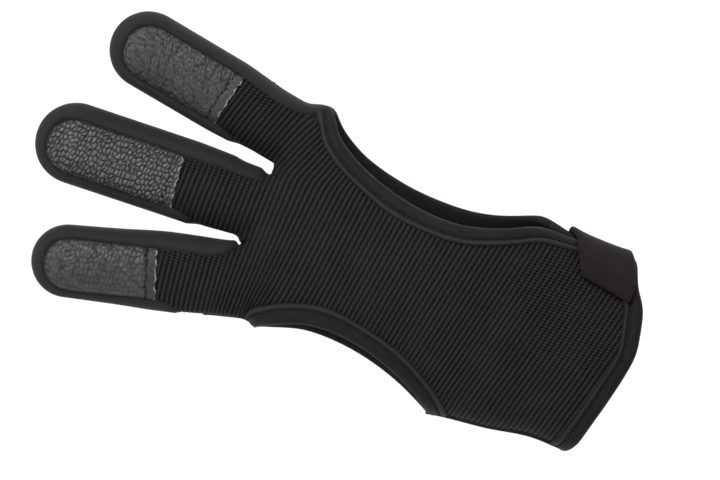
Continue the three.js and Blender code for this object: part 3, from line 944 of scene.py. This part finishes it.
# cell: pebbles' size along the finger and across. relief: their height. wrinkle: the wrinkles' depth.
# contrast: how far the colour spreads, with pebble tops lighter as painted highlight and creases darker as
# painted shade. cut_lean: how the straight edge slants. even: how far the pebbles reach to that edge.
# tone: how light the leather is. shade: how much painted shade darkens the tip's lower side. lean: how
# the pattern slants. fold: how close the wrinkles lie, along and across. soft: how blurred the pebbles
# are. fall: how much painted shade darkens the leather towards its lower side.
PAD_LOOKS = {
    "index": dict(cell=(0.85, 1.75), relief=0.36, wrinkle=0.4, seed=3, cut_lean=0.3, even=0.25,
                  tone=0.54, contrast=0.85, shade=0.15, lean=-0.58, fold=(1.5, 0.6), soft=0.15,
                  fall=0.12),
    "middle": dict(cell=(1.2, 1.85), relief=0.72, wrinkle=0.14, seed=5, cut_lean=-0.03, even=1.0,
                   tone=1.12, contrast=1.12, shade=0.55, lean=0.25, fold=(0.55, 1.3), soft=0.0,
                   fall=0.0),
    "ring": dict(cell=(1.45, 1.9), relief=0.3, wrinkle=0.2, seed=8, cut_lean=-0.24, even=0.0,
                 tone=0.48, contrast=1.35, shade=0.25, lean=0.25, fold=(0.55, 1.3), soft=0.4,
                 fall=0.42),
}


def cut_x(finger, across):
    """How far along the finger the pad's straight edge lies, at a place across it."""
    looks = PAD_LOOKS[finger["name"]]
    lean = looks["cut_lean"] - finger["side"][0] / finger["side"][2]
    return (finger["pad_start"] - lean * (across + 1.5)
            + 0.16 * np.sin(across * 1.3 + looks["seed"]) + 0.13 * np.sin(across * 3.1)
            + 0.12 * np.sin(across * 7.3 + looks["seed"]))


def make_pad(finger):
    looks = PAD_LOOKS[finger["name"]]
    above = finger["above"] * finger["stall_half"]
    below = finger["below"] * finger["stall_half"]
    radius = (above + below) / 2
    centre = finger["pad_tip"] - radius
    middle = (above - below) / 2
    tuck, crowding, tone_middle, groove_in, stitches_in = 0.2, 1.25, 0.62, 3.1, 3.2
    n_along, n_tip, n_across = 140, 54, 83
    # samples across lie closer towards the rims
    v = np.sin(np.linspace(-1, 1, n_across) * crowding) / math.sin(crowding)
    across_straight = middle + (radius + tuck) * v
    start = cut_x(finger, across_straight)
    straight = start + (centre - start) * np.linspace(0, 1, n_along)[:, None]
    phi = np.linspace(0, math.pi / 2, n_tip + 1)[1:]
    tip_s = centre + (radius + tuck) * np.sin(phi) ** (2 / PAD_POWER)
    narrow = np.cos(phi) ** (2 / PAD_POWER)
    s = np.vstack([straight, np.broadcast_to(tip_s[:, None], (n_tip, n_across))])
    half = np.concatenate([np.ones(n_along), narrow])[:, None] * (radius + tuck)
    c = middle + half * v
    plan = on_axis(finger, s, c)
    # distance in from the rim
    side_in = half * (1 - np.abs(v))
    tip_in = radius + tuck - np.hypot(np.maximum(s - centre, 0), c - middle)
    inward = np.where(s > centre, np.minimum(np.maximum(tip_in, 0), side_in + 2), side_in)
    grow = eased([0, 0.35, 0.9, 2.2, 6.0], [1.05, 1.35, 1.75, 2.1, 2.25])(inward)
    from_cut = s - start
    long_way, cross_way = looks["cell"]
    slanted = s + c * looks["lean"]
    bent = slanted + 0.3 * waves(s, c, 31, 3.0)
    pebble = cells(bent, c * long_way / cross_way, long_way, looks["seed"])
    blurred = 0.55 + 0.9 * waves(s, c, 57, 3.4, 9)
    pebble = pebble + (blurred - pebble) * looks["soft"]
    calm = 0.6 * waves(s, c, 77, 4.0) - 2.3 * looks["even"]
    fade = smoothstep(1.2, 4.5, from_cut - calm) * 0.8 + 0.2
    fade = fade * (0.35 + 0.65 * smoothstep(0.2, 1.4, inward))
    fold_along, fold_across = looks["fold"]
    crease = 1 - np.abs(waves(slanted * fold_along, c * fold_across, looks["seed"] + 40, 6.0, 5))
    crease = smoothstep(0.72, 1.0, crease) * looks["wrinkle"]
    edge_dip = 0.12 * (1 - smoothstep(0.0, 0.5, from_cut))
    groove = np.exp(-((from_cut - groove_in) / 0.45) ** 2) * (1 - 0.6 * looks["even"])
    grow = grow + (pebble - 0.5) * looks["relief"] * fade - crease * fade - edge_dip - 0.4 * groove
    grow = grow + 0.12 * waves(s, c, looks["seed"] + 9, 14.0)
    # top is the leather's colour: pebble tops are painted lighter as painted highlight, and creases and
    # wrinkles are painted darker as painted shade
    top = pebble * fade * (1 - crease) + 0.3 * (1 - fade)
    top = top + 0.42 * (1 - fade) * (waves(s * 1.7, c * 2.2, 61, 2.0) - 0.25)
    # contrast spreads that painted highlight and shade; the groove inside the straight edge is painted
    # darker as painted shade
    top = (tone_middle + (top - tone_middle) * looks["contrast"]) * (1 - 0.8 * groove) * looks["tone"]
    # painted shade: darker on the tip's lower side (shade), towards the lower side (fall), and in the
    # crevice round the rim
    lower = smoothstep(0.25, 0.95, -v) * smoothstep(-24, -6, s - centre)
    top = top * (1 - looks["fall"] * smoothstep(-0.5, 0.9, -v))
    top = top * (1 - looks["shade"] * lower) * smoothstep(0.15, 1.4, inward + 0.35 * waves(s, c, 19, 1.5))
    field = stall_field_of(finger)
    outer = cast(plan, FRONT, grow, field, PAD_REACH)
    inner = cast(plan, FRONT, 0.62 + 0 * grow, field, PAD_REACH)
    frayed = 0.22 + 0.16 * waves(c, 0 * c, 17, 1.3)
    pale = smoothstep(-0.6, 0.2, waves(c, 0 * c, 23, 2.6))
    raw = (1 - smoothstep(frayed, frayed + 0.2, from_cut)) * pale
    sheet = Sheet().shell(outer, inner, u=s, v=c, top=top, raw=raw)
    piece = sheet.mesh(finger["name"] + "_pad_leather", pad_leather)
    # a row of stitches inside the straight edge
    across = np.linspace(-below + 1.2, above - 1.2, 40)
    path_plan = on_axis(finger, cut_x(finger, across) + stitches_in, across)
    path = cast(path_plan, FRONT, 1.9, field, PAD_REACH)
    stitched(finger["name"] + "_pad_stitches", [(path, normal_at(path, 2.0, field))], "pad_leather",
             Pitch=1.9 * MM, Length=1.45 * MM, Thickness=0.42 * MM)
    kept_piece(piece, "pad_leather", finger["name"] + "_pad")


# Ribbed palm

def plan_line(table, steps):
    return spline([(-a * PALM_LENGTH, c * PALM_BREADTH) for a, c in table], steps)


def plan_edge(table, width, x_from, x_to):
    """An opening's edge in plan, moved sideways by width, between two places along X."""
    line = shifted(plan_line(table, 24), width)
    return line[(line[:, 0] > x_from) & (line[:, 0] < x_to)]


def rib_lean(u, z):
    """How far a rib moves towards the arm for each millimetre up."""
    palm = eased([-150, -98, -72, -45, -20, 14], [0.19, 0.19, 0.235, 0.285, 0.33, 0.33])(u)
    palm = palm + 0.07 * (1 - smoothstep(-100, -80, u)) * (1 - smoothstep(-16, 2, z))
    fingers = 1 - smoothstep(-117, -100, u)
    root = eased([-150, -126, -112, -96, -80], [0.38, 0.43, 0.5, 0.36, 0.2])(u + (z - 26) * 0.4)
    index = palm + (root - palm) * (1 - smoothstep(-98, -80, u + (z - 26) * 0.4))
    middle = palm + (0.1 - palm) * fingers
    ring = palm + (eased([-150, -126, -116], [-0.06, 0.0, 0.1])(u) - palm) * fingers
    out = middle + (index - middle) * smoothstep(23, 29, z)
    return out + (ring - out) * (1 - smoothstep(-4, 6, z))


# How far a rib has moved along X at each height, from the height where ribs are counted
RIB_U = np.arange(-152.0, 14.0, RIB_PITCH / RIB_STEPS)
RIB_Z = np.linspace(-70, 80, 301)
COUNTED_AT = 14.4
LEAN = rib_lean(RIB_U[:, None], RIB_Z[None, :])
SWEEP = np.cumsum(LEAN, axis=1) * (RIB_Z[1] - RIB_Z[0])
SWEEP -= SWEEP[:, [int(np.argmin(np.abs(RIB_Z - COUNTED_AT)))]]


def sweep_at(u, z):
    fu = np.clip((u - RIB_U[0]) / (RIB_U[1] - RIB_U[0]), 0, len(RIB_U) - 1.001)
    fz = np.clip((z - RIB_Z[0]) / (RIB_Z[1] - RIB_Z[0]), 0, len(RIB_Z) - 1.001)
    i, j = fu.astype(int), fz.astype(int)
    a, b = fu - i, fz - j
    return ((SWEEP[i, j] * (1 - a) + SWEEP[i + 1, j] * a) * (1 - b)
            + (SWEEP[i, j + 1] * (1 - a) + SWEEP[i + 1, j + 1] * a) * b)


def rib_of(x, z):
    """The place along X where the rib through a point is counted."""
    u = x - 0.1 * (z - COUNTED_AT)
    for _ in range(12):
        u = x - sweep_at(u, z)
    return u


def hem_x(z, width):
    line = shifted(spline([(o * HEM_REACH, a * WRIST_BREADTH) for o, a in HEM], 24), width)
    order = np.argsort(line[:, 1])
    return np.interp(z, line[order, 1], line[order, 0])


def strip_edge(finger, upper, until, *tail):
    """Where a strip's edge lies across, at each rib: along the finger as far as until, then along the
    tail."""
    s = np.arange(60.0, finger["back_to"], -0.5)
    point = on_axis(finger, s, edge_across(finger, s, upper) + (0.7 if upper else -0.1))[:, [0, 2]]
    line = np.vstack([point[point[:, 0] < until], *tail])
    u = rib_of(line[:, 0], line[:, 1])
    order = np.argsort(u)
    return lambda at: np.interp(at, u[order], line[order, 1])


def brink(finger, x, sign, valley, wall):
    """The form's own outline beside a finger in plan, no further than the valley of the web."""
    run = (finger["start"][0] - x) / -finger["forward"][0]
    axis = finger["start"][2] + run * finger["forward"][2]
    reach = np.abs(valley - axis)
    return cast(in_middle(x, axis), np.array([0.0, 0.0, sign]), wall, reach=reach)[..., 2]


def make_palm():
    index, middle, ring = (FINGERS[k] for k in ("index", "middle", "ring"))
    under = 3.4
    thumb = plan_edge(THUMB_PALM, -under, -106.5, -30)
    little = plan_edge(LITTLE_PALM, under, -110.5, -52)
    web_low, web_high = np.array([-121.3, 1.9]), np.array([-117.9, 25.3])
    split_low = np.array([web_low, (-100, 3), (-60, 1), (14, -8)])
    split_high = np.array([web_high, (-100, 20), (-60, 11), (14, 8)])

    def beside_strap(x):
        """How far the ribbed cloth keeps from the thumb side's middle, under the binding."""
        return np.interp(x, [-35, -30, -24, -18, -8], [3.0, 11.5, 9.7, 7.3, 4.9])

    at_low, at_high = web_low[0] - 0.5, web_high[0] - 0.5
    # finger, lower edge, upper edge, columns, where the rim's wall ends, and the webs beside it: place,
    # how much thicker the cloth is there, and on which side
    strips = [
        (ring, strip_edge(ring, False, -113, little, [(-49, -33), (14, -60)]),
         strip_edge(ring, True, at_low, split_low), 22, -116.0, [(web_low, 0.0, 1.0)]),
        (middle, strip_edge(middle, False, at_low, split_low),
         strip_edge(middle, True, at_high, split_high), 20, web_low[0],
         [(web_low, 0.3, -1.0), (web_high, 0.0, 1.0)]),
        (index, strip_edge(index, False, at_high, split_high),
         strip_edge(index, True, -110.5, thumb, [(-27, 34), (-20, 60), (14, 60)]), 26, web_high[0],
         [(web_high, 0.3, -1.0)]),
    ]
    sheet = Sheet()
    for finger, low, high, columns, rim_end, webs in strips:
        middle_z = finger["start"][2]
        pad_x = on_axis(finger, finger["pad_start"] + 2.2)[0]
        first = np.searchsorted(RIB_U, rib_of(pad_x, np.array(middle_z)))
        u = RIB_U[first:, None]
        # on the fingers the columns lie closer towards both edges
        on_finger = 1 - smoothstep(-119.5, -108, u)
        v = np.linspace(0, 1, columns + 1)[None, :]
        bent = 0.5 + 0.5 * np.sin((v - 0.5) * math.pi * 0.9) / math.sin(0.45 * math.pi)
        v = v + (bent - v) * on_finger
        x = u + 0 * v
        z_low, z_high = low(u), high(u)
        z = z_low + (z_high - z_low) * v
        for _ in range(4):
            seam_low, seam_high = tau_ends(x, -1)
            edge_low, edge_high = z_low, z_high
            for web, beside, sign in webs:
                at = x[:, -1:] if sign > 0 else x[:, :1]
                past = smoothstep(web[0] - 0.6, web[0] + 0.2, at)
                outline = brink(finger, at, sign, web[1], KNIT_WALL + beside)
                if sign > 0:
                    edge_high = np.minimum(z_high, outline) * (1 - past) + z_high * past
                else:
                    edge_low = np.maximum(z_low, outline) * (1 - past) + z_low * past
            t_low = np.maximum(tau_of(x, edge_low, -1), seam_low + 0.2)
            t_high = np.minimum(tau_of(x, edge_high, -1), seam_high - beside_strap(x))
            in_palm = smoothstep(FINGERS_TO, PALM_FROM, x)
            t_low = edge_low + (t_low - edge_low) * in_palm
            t_high = edge_high + (t_high - edge_high) * in_palm
            tau = t_low + (t_high - t_low) * v
            z = tau + (plan_z(x, tau, -1) - tau) * in_palm
            hem = rib_of(hem_x(z, 2.6), z)
            uu = np.minimum(u, hem)
            x = uu + sweep_at(uu, z)
        base, way = palm_ray(x, tau, -1)
        flat = in_middle(x, z)
        share = smoothstep(FINGERS_TO, PALM_FROM, x)[..., None]
        base = flat + (base - flat) * share
        way = unit(FRONT + (way - FRONT) * share)
        sag = 0.25 * waves(x, z, 12, 46.0) * smoothstep(-125, -100, x)
        run, across = from_root(finger, flat)
        to_rim = smoothstep(0.68, 1.0, -across / (finger["half"](run) + RIM_WALL))
        to_rim = to_rim * rim_share(finger, run) * (1 - smoothstep(-3, 2.5, x - rim_end))
        wall = KNIT_WALL + (RIM_WALL - KNIT_WALL) * to_rim
        outer = cast(base, way, wall + sag)
        inner = cast(base, way, INNER_GAP + sag * 0.5)
        waffle = np.clip(
            0.08 + 0.9 * (1 - smoothstep(2, 8, np.abs(z - z_high))) * (x < -124)
            + 0.9 * np.exp(-((x + 27) / 10) ** 2 - ((z - 17) / 8) ** 2)
            + 0.6 * smoothstep(-38, -20, x) * smoothstep(-20, 0, z), 0, 1)
        gather = (1 + 0.25 * waves(x, z * 0.4, 21, 22.0)) * (1 - 0.85 * smoothstep(0.8, 1.0, to_rim))
        for web, _, sign in webs:
            close = smoothstep(0.82, 1.0, v if sign > 0 else 1 - v)
            gather = gather * (1 - 0.9 * close * (1 - smoothstep(web[0] + 1, web[0] + 4, x)))
        sheet.shell(outer, inner, rib=(uu / RIB_PITCH), rise=gather, u=uu, v=z * 1.03, waffle=waffle)
    piece = sheet.mesh("palm_knit", ribbed_knit)
    # no ribs on the inside
    hidden = np.zeros(len(piece.data.vertices), np.float32)
    rise = np.zeros_like(hidden)
    piece.data.attributes["hidden"].data.foreach_get("value", hidden)
    piece.data.attributes["rise"].data.foreach_get("value", rise)
    piece.data.attributes["rise"].data.foreach_set("value", rise * (1 - hidden))
    kept_piece(grown(piece, ribs), "ribbed_knit", "palm_panel")


# Back of the hand

def make_back():
    rows, long, wide = 130, 130.0, 80.0
    webs, web_wide, web_deep = (2.2, 27.0), 4.6, 12.5
    past_low, past_high = 0.6, 0.2

    def finger_end(z):
        """Where the cloth ends towards the fingers: drawn in at each web."""
        scallop = sum(np.exp(-((z - w) / web_wide) ** 2) for w in webs)
        return -STALL_SEAM * PALM_LENGTH + web_deep * np.clip(scallop, 0, 1)

    under = 3.2
    thumb = plan_edge(THUMB_BACK, -under, -105.5, -28)
    little = plan_edge(LITTLE_BACK, under, -109, -50)
    far = 90.0
    top = np.vstack([thumb, [(-26, far), (20, far)]])
    bottom = np.vstack([little, [(-48, -far), (20, -far)]])

    def across(x, v):
        """From just past the lower seam to just past the upper one, held back at the openings."""
        seam_low, seam_high = tau_ends(x, 1)
        t_low = tau_of(x, np.interp(x, *bottom.T), 1) - seam_low + past_low
        t_low = seam_low - past_low + np.maximum(t_low, 0) * smoothstep(-113, -108, x)
        t_high = tau_of(x, np.interp(x, *top.T), 1) - seam_high - past_high
        t_high = seam_high + past_high + np.minimum(t_high, 0) * smoothstep(-109, -104, x)
        whole = seam_high - seam_low + (past_low + past_high)
        return np.clip(seam_low - past_low + whole * v, t_low, t_high)

    share = np.linspace(0, 1, rows)[:, None]
    v = np.linspace(0, 1, rows)[None, :]
    near_tips = -122.0 + 0 * v
    start = finger_end(plan_z(near_tips, across(near_tips, v), 1))
    end = 0 * v
    for _ in range(6):
        end = hem_x(plan_z(end, across(end, v), 1), 2.6)
    x = start + (end - start) * share
    tau = across(x, v)
    z = plan_z(x, tau, 1)
    base, way = palm_ray(x, tau, 1)
    soft = 0.35 * waves(x, z, 52, 38.0)
    rim = np.minimum(np.minimum(share, 1 - share) * long, np.minimum(v, 1 - v) * wide)
    grow = SMOOTH_WALL + 0.15 + soft * smoothstep(0, 8, rim) - 0.9 * (1 - smoothstep(0, 0.9, rim)) ** 2
    outer = cast(base, way, grow)
    inner = cast(base, way, INNER_GAP + 0 * grow)
    sheet = Sheet().shell(outer, inner, u=x, v=z)
    # the end of the palm between the fingers
    z_end = np.linspace(-12, 42, 40)[:, None]
    phi = np.radians(np.linspace(35, 172, 24))[None, :]
    base = np.stack(np.broadcast_arrays(-PALM_END * PALM_LENGTH, 0 * phi, z_end), -1)
    way = np.stack(np.broadcast_arrays(-np.sin(phi), -np.cos(phi), 0 * z_end), -1)
    height = 0.3 + 2.0 * turned(62, 105, phi + 0 * z_end)
    sheet.shell(cast(base, way, height, palm_field), cast(base, way, -1.0, palm_field), u=0.0, v=0.0)
    piece = sheet.mesh("back_cloth", smooth_stretch)
    # a row of stitches along the stalls' seam
    z_row = np.linspace(-27, 55, 260)
    x_row = finger_end(z_row) + 1.6
    t_row = tau_of(x_row, z_row, 1)
    row = round_palm(x_row, t_row, 1, SMOOTH_WALL + 0.18)
    inside = (z_row > tau_of(x_row, np.array(-25.0), 1)) & (row[:, 1] > 2.0)
    row = row[inside]
    stitched("back_stitches", [(row, normal_at(row, 2.7))], "smooth_stretch",
             Pitch=2.6 * MM, Length=2.0 * MM, Thickness=0.5 * MM)
    kept_piece(piece, "smooth_stretch", "back_panel")


# Bindings

def resampled(line, step, closed):
    line = np.vstack([line, line[:1]]) if closed else line
    away = np.concatenate([[0], np.cumsum(np.linalg.norm(np.diff(line, axis=0), axis=1))])
    count = max(8, int(away[-1] / step))
    at = np.linspace(0, away[-1], count, endpoint=not closed)
    return np.stack([np.interp(at, away, line[:, i]) for i in range(3)], 1)


def softened(line, rounds, closed):
    for _ in range(rounds):
        if closed:
            line = 0.5 * line + 0.25 * (np.roll(line, 1, 0) + np.roll(line, -1, 0))
        else:
            line = np.vstack([line[:1], 0.5 * line[1:-1] + 0.25 * (line[:-2] + line[2:]), line[-1:]])
    return line


# Section of the folded tape: how far in from the edge, and how high over the hand
TAPE = np.array([
    (6.1, 0.8), (6.3, 1.7), (6.05, 2.45), (5.5, 2.8), (4.95, 2.6), (4.6, 2.1), (4.25, 2.0),
    (3.8, 2.35), (3.0, 2.65), (2.0, 2.8), (1.0, 2.65), (0.25, 2.15), (-0.2, 1.3), (-0.1, 0.45),
    (0.5, -0.1), (2.0, -0.25), (4.0, -0.25), (5.8, -0.1),
])


def tape_along(name, line, closed, inward, width, cool):
    """Folded tape along an edge, with its stitches. inward is a point on the cloth's side of the first
    sample, and the last argument is how much darker and bluish the tape is: the darkening is painted shade,
    the blue the tape's own tint."""
    step, full_width, ridge_at, stitch_row, stitch_height = 0.8, 6.0, 5.5, 7, 2.36
    line = on_form(softened(resampled(line, step, closed), 22 if closed else 10, closed))
    if closed:
        tangent = np.roll(line, -1, 0) - np.roll(line, 1, 0)
    else:
        tangent = np.gradient(line, axis=0)
    normal = normal_at(line, 0.0)
    into = unit(np.cross(unit(tangent), normal))
    if into[0] @ (inward - line[0]) < 0:
        into = -into
    into = softened(into, 12, closed)
    along = (np.arange(len(line)) * step)[:, None]
    across, high = TAPE.T[:, None, :]
    wobble = 1 + 0.035 * np.sin(along / 9.0) + 0.02 * np.sin(along / 3.7 + 1)
    reach = across * (width / full_width) * wobble
    flat = on_form(line[:, None, :] + into[:, None, :] * reach[..., None])
    height = high * (1 + 0.05 * np.sin(along / 6.1) * (high > 1))
    rings = flat + normal_at(flat, 0.0) * height[..., None]
    # a painted highlight along the ridge's crest
    ridge = np.exp(-((across - ridge_at) / 0.6) ** 2) * (high > 1.5)
    sheet = Sheet().tube(rings, closed, u=along + 0 * across, v=across + 0 * along,
                         ridge=ridge + 0 * along, cool=cool)
    kept_piece(sheet.mesh(name + "_tape", binding_tape), "binding", name)
    seam = flat[:, stitch_row] + normal_at(flat[:, stitch_row], 0.0) * stitch_height
    seam = np.vstack([seam, seam[:1]]) if closed else seam
    stitched(name + "_stitches", [(seam, normal_at(seam, 0.0))], "binding",
             Pitch=1.8 * MM, Length=1.15 * MM, Thickness=0.62 * MM, Slant=0.3)


def opening_loop(palm_table, back_table):
    """The edge of an opening, over the palm and over the back, each from the fingers to the wrist."""
    faces = []
    for table, side in ((palm_table, -1.0), (back_table, 1.0)):
        plan = plan_line(table, 60)
        base = in_middle(*plan.T)
        base = base[hand_field(base, EDGE_HEIGHT) < -0.02]
        faces.append(cast(base, np.array([0.0, side, 0.0]), EDGE_HEIGHT))
    return faces


def make_bindings():
    palm, back = opening_loop(THUMB_PALM, THUMB_BACK)
    # on to the wrist beside the slit, under the strap
    xs = np.linspace(-30, -8, 24)
    palm_trim = np.interp(xs, [-30, -24, -18, -8], [9.0, 7.2, 4.8, 2.4])
    ends = [round_palm(xs, tau_ends(xs, side)[1] - trim, side, EDGE_HEIGHT)
            for side, trim in ((-1, palm_trim), (1, 0.6))]
    palm = np.vstack([palm[palm[:, 0] < -35], ends[0]])
    back = np.vstack([back[back[:, 0] < -33], ends[1]])
    loop = np.vstack([palm[::-1], back])
    tape_along("thumb_binding", loop, False, loop[0] + np.array([0, -2.0, -5.0]), 5.7, 0.1)
    palm, back = opening_loop(LITTLE_PALM, LITTLE_BACK)
    loop = np.vstack([palm, back[::-1]])
    tape_along("little_finger_binding", loop, True, loop[0] + np.array([2.0, 0, 6.0]), 6.2, 0.6)
    # round the wrist, from one side of the slit to the other
    share = np.linspace(0.0, 1.0, 200)
    faces = []
    for side, trim in ((-1, 4.2), (1, 0.4)):
        z = 0 * share
        for _ in range(5):
            xs = hem_x(z, 0.4)
            low, high = tau_ends(xs, side)
            tau = high - trim + (low - high + trim) * share
            z = plan_z(xs, tau, side)
        faces.append(round_palm(xs, tau, side, EDGE_HEIGHT))
    loop = np.vstack([faces[0], faces[1][::-1]])
    # the wrist's tape gets the most painted shade, and a blue tint
    tape_along("wrist_binding", loop, False, loop[0] + np.array([-5.0, 0, 0]), 5.6, 1.0)


# Strap

def make_strap():
    end_z = eased([0, 0.15, 0.6, 1.0], [17.9, 18.5, 20.0, 21.3])
    right = eased([17.0, 21.8, 24.1, 28.1, 31.0, 34.4, 37.0, 60.0],
                  [2.3, 2.5, 1.9, 0.45, -0.6, -1.7, -2.0, -2.0])
    left = eased([17.0, 21.3, 27.9, 33.8, 36.0, 60.0], [-13.2, -15.0, -17.8, -20.0, -21.2, -21.6])
    hem_lines, corner, top_height, under_height = (1.5, 3.1), 1.3, 5.1, 3.15
    # share runs across the strap, and along from the tab on the palm round the thumb side to the end on
    # the back
    share = np.concatenate([[0, 0.01, 0.025, 0.045], np.linspace(0.07, 0.93, 26),
                            [0.955, 0.975, 0.99, 1]])[None, :]
    along = np.concatenate([[0, 0.006, 0.014, 0.025], np.linspace(0.04, 0.97, 90),
                            [0.98, 0.988, 0.995, 1]])[:, None]
    x = 0 * along + 0 * share - 8
    back_end = -1.0
    for _ in range(6):
        palm_high, back_high = tau_ends(x, -1)[1], tau_ends(x, 1)[1]
        front_run = palm_high - tau_of(x, end_z(share) + 0 * x, -1)
        total = front_run + back_high - back_end
        run = along * total
        on_palm = run < front_run
        tau = np.where(on_palm, palm_high - front_run + run, back_high - (run - front_run))
        side = np.where(on_palm, -1, 1)
        z = plan_z(x, tau, side)
        plan = np.where(on_palm, z, 60.0)
        round_side = smoothstep(front_run - 9, front_run + 4, run)
        near = right(plan) * (1 - round_side) - 0.6 * round_side
        far = left(plan) * (1 - round_side) - 21.4 * round_side
        from_end = np.minimum(run, total - run)
        inset = corner - np.sqrt(np.maximum(corner**2 - np.maximum(corner - from_end, 0) ** 2, 0))
        near, far = near - inset, far + inset
        x = near + (far - near) * share
    base, way = (np.where(on_palm[..., None], palm, back)
                 for palm, back in zip(palm_ray(x, tau, -1), palm_ray(x, tau, 1)))
    rim = np.minimum(np.minimum(share, 1 - share) * 19, from_end)
    hems = sum(np.exp(-((from_end - d) / 0.32) ** 2) for d in hem_lines)
    grow = top_height - 0.75 * (1 - smoothstep(0, 0.8, rim)) ** 1.5
    grow = grow - 0.32 * hems * smoothstep(0.5, 1.4, rim)
    grow = grow + 0.12 * waves(x, z, 91, 24.0) * smoothstep(0, 4, rim)
    outer = cast(base, way, grow)
    inner = cast(base, way, under_height + 0 * grow)
    piece = Sheet().shell(outer, inner, u=run, v=x).mesh("wrist_strap_tape", strap_tape)
    # stitches across both ends, and along both edges on the back
    column = 15
    rows = [int(np.argmin(np.abs(run[:, column] - at)))
            for d in hem_lines for at in (d, total[0, column] - d)]
    lines = [outer[row, 5:-5] for row in rows]
    lines += [outer[int(0.45 * len(outer)):-6, edge] for edge in (3, -4)]
    stitched("wrist_strap_stitches", [(line, normal_at(line, 4.9)) for line in lines], "strap",
             Pitch=1.7 * MM, Length=1.3 * MM, Thickness=0.3 * MM)
    kept_piece(piece, "strap", "wrist_strap")


make_palm()
make_back()
for finger in FINGERS.values():
    make_stall(finger)
    make_pad(finger)
make_bindings()
make_strap()


# Stage, light and camera

ROLL = math.radians(16.6)
AIM = Vector((-0.0853, -0.006, 0.0126))
DISTANCE = 1.1
FRAME_WIDTH = 0.2304
SENSOR = 36.0
WHITE = (1.0, 1.0, 1.0, 1.0)


def filled(node, **values):
    for name, value in values.items():
        node.inputs[name.replace("_", " ")].default_value = value


def floor_finish():
    material = bpy.data.materials.new("studio_white")
    material.use_nodes = True
    filled(material.node_tree.nodes["Principled BSDF"], Base_Color=(0.8, 0.8, 0.8, 1.0), Roughness=0.9,
           Emission_Color=WHITE, Emission_Strength=0.27)
    return material


def round_stage():
    """A round floor whose rim curves up into a wall on every side."""
    floor, radius, bend = -0.17, 2.6, 0.7
    profile = [(0.02, floor), (0.9, floor), (radius - bend, floor)]
    for a in np.linspace(0, math.pi / 2, 9)[1:]:
        profile.append((radius - bend + bend * math.sin(a), floor + bend * (1 - math.cos(a))))
    wall_top, turns = 2.4, 72
    profile.append((radius, wall_top))
    points, faces = [], []
    for r, height in profile:
        for t in range(turns):
            a = math.tau * t / turns
            points.append((r * math.cos(a), r * math.sin(a), height))
    for row in range(len(profile) - 1):
        for t in range(turns):
            n = (t + 1) % turns
            here, out = row * turns, (row + 1) * turns
            faces.append((here + t, out + t, out + n, here + n))
    faces.append(tuple(range(turns)))
    data = bpy.data.meshes.new("studio_floor")
    data.from_pydata(points, [], faces)
    data.polygons.foreach_set("use_smooth", np.ones(len(data.polygons), bool))
    linked("studio_floor", data, floor_finish())


def soft_light(name, place_at, size, power):
    data = bpy.data.lights.new(name, "AREA")
    data.shape, data.size, data.size_y, data.energy = "RECTANGLE", size, size, power
    light = linked(name, data)
    light.location = place_at
    light.rotation_euler = (AIM - Vector(place_at)).to_track_quat("-Z", "Y").to_euler()


round_stage()
soft_light("key", (-0.75, -0.9, 0.85), 0.55, 22.0)
soft_light("fill", (0.8, -1.3, 0.1), 0.9, 3.0)
soft_light("top", (0.1, 0.5, 1.3), 0.9, 9.0)
soft_light("back", (-0.3, 1.4, 0.5), 0.9, 7.0)

world = bpy.data.worlds.new("studio")
world.use_nodes = True
filled(world.node_tree.nodes["Background"], Color=WHITE, Strength=0.4)
bpy.context.scene.world = world
bpy.context.scene.view_settings.view_transform = "Standard"

camera_data = bpy.data.cameras.new("camera")
camera_data.sensor_width = SENSOR
camera_data.lens = SENSOR * DISTANCE / FRAME_WIDTH
camera_data.clip_start, camera_data.clip_end = 0.05, 20.0
camera = linked("camera", camera_data)
camera.location = AIM - Vector((0.0, DISTANCE, 0.0))
camera.rotation_euler = (math.pi / 2, -ROLL, 0.0)
bpy.context.scene.camera = camera
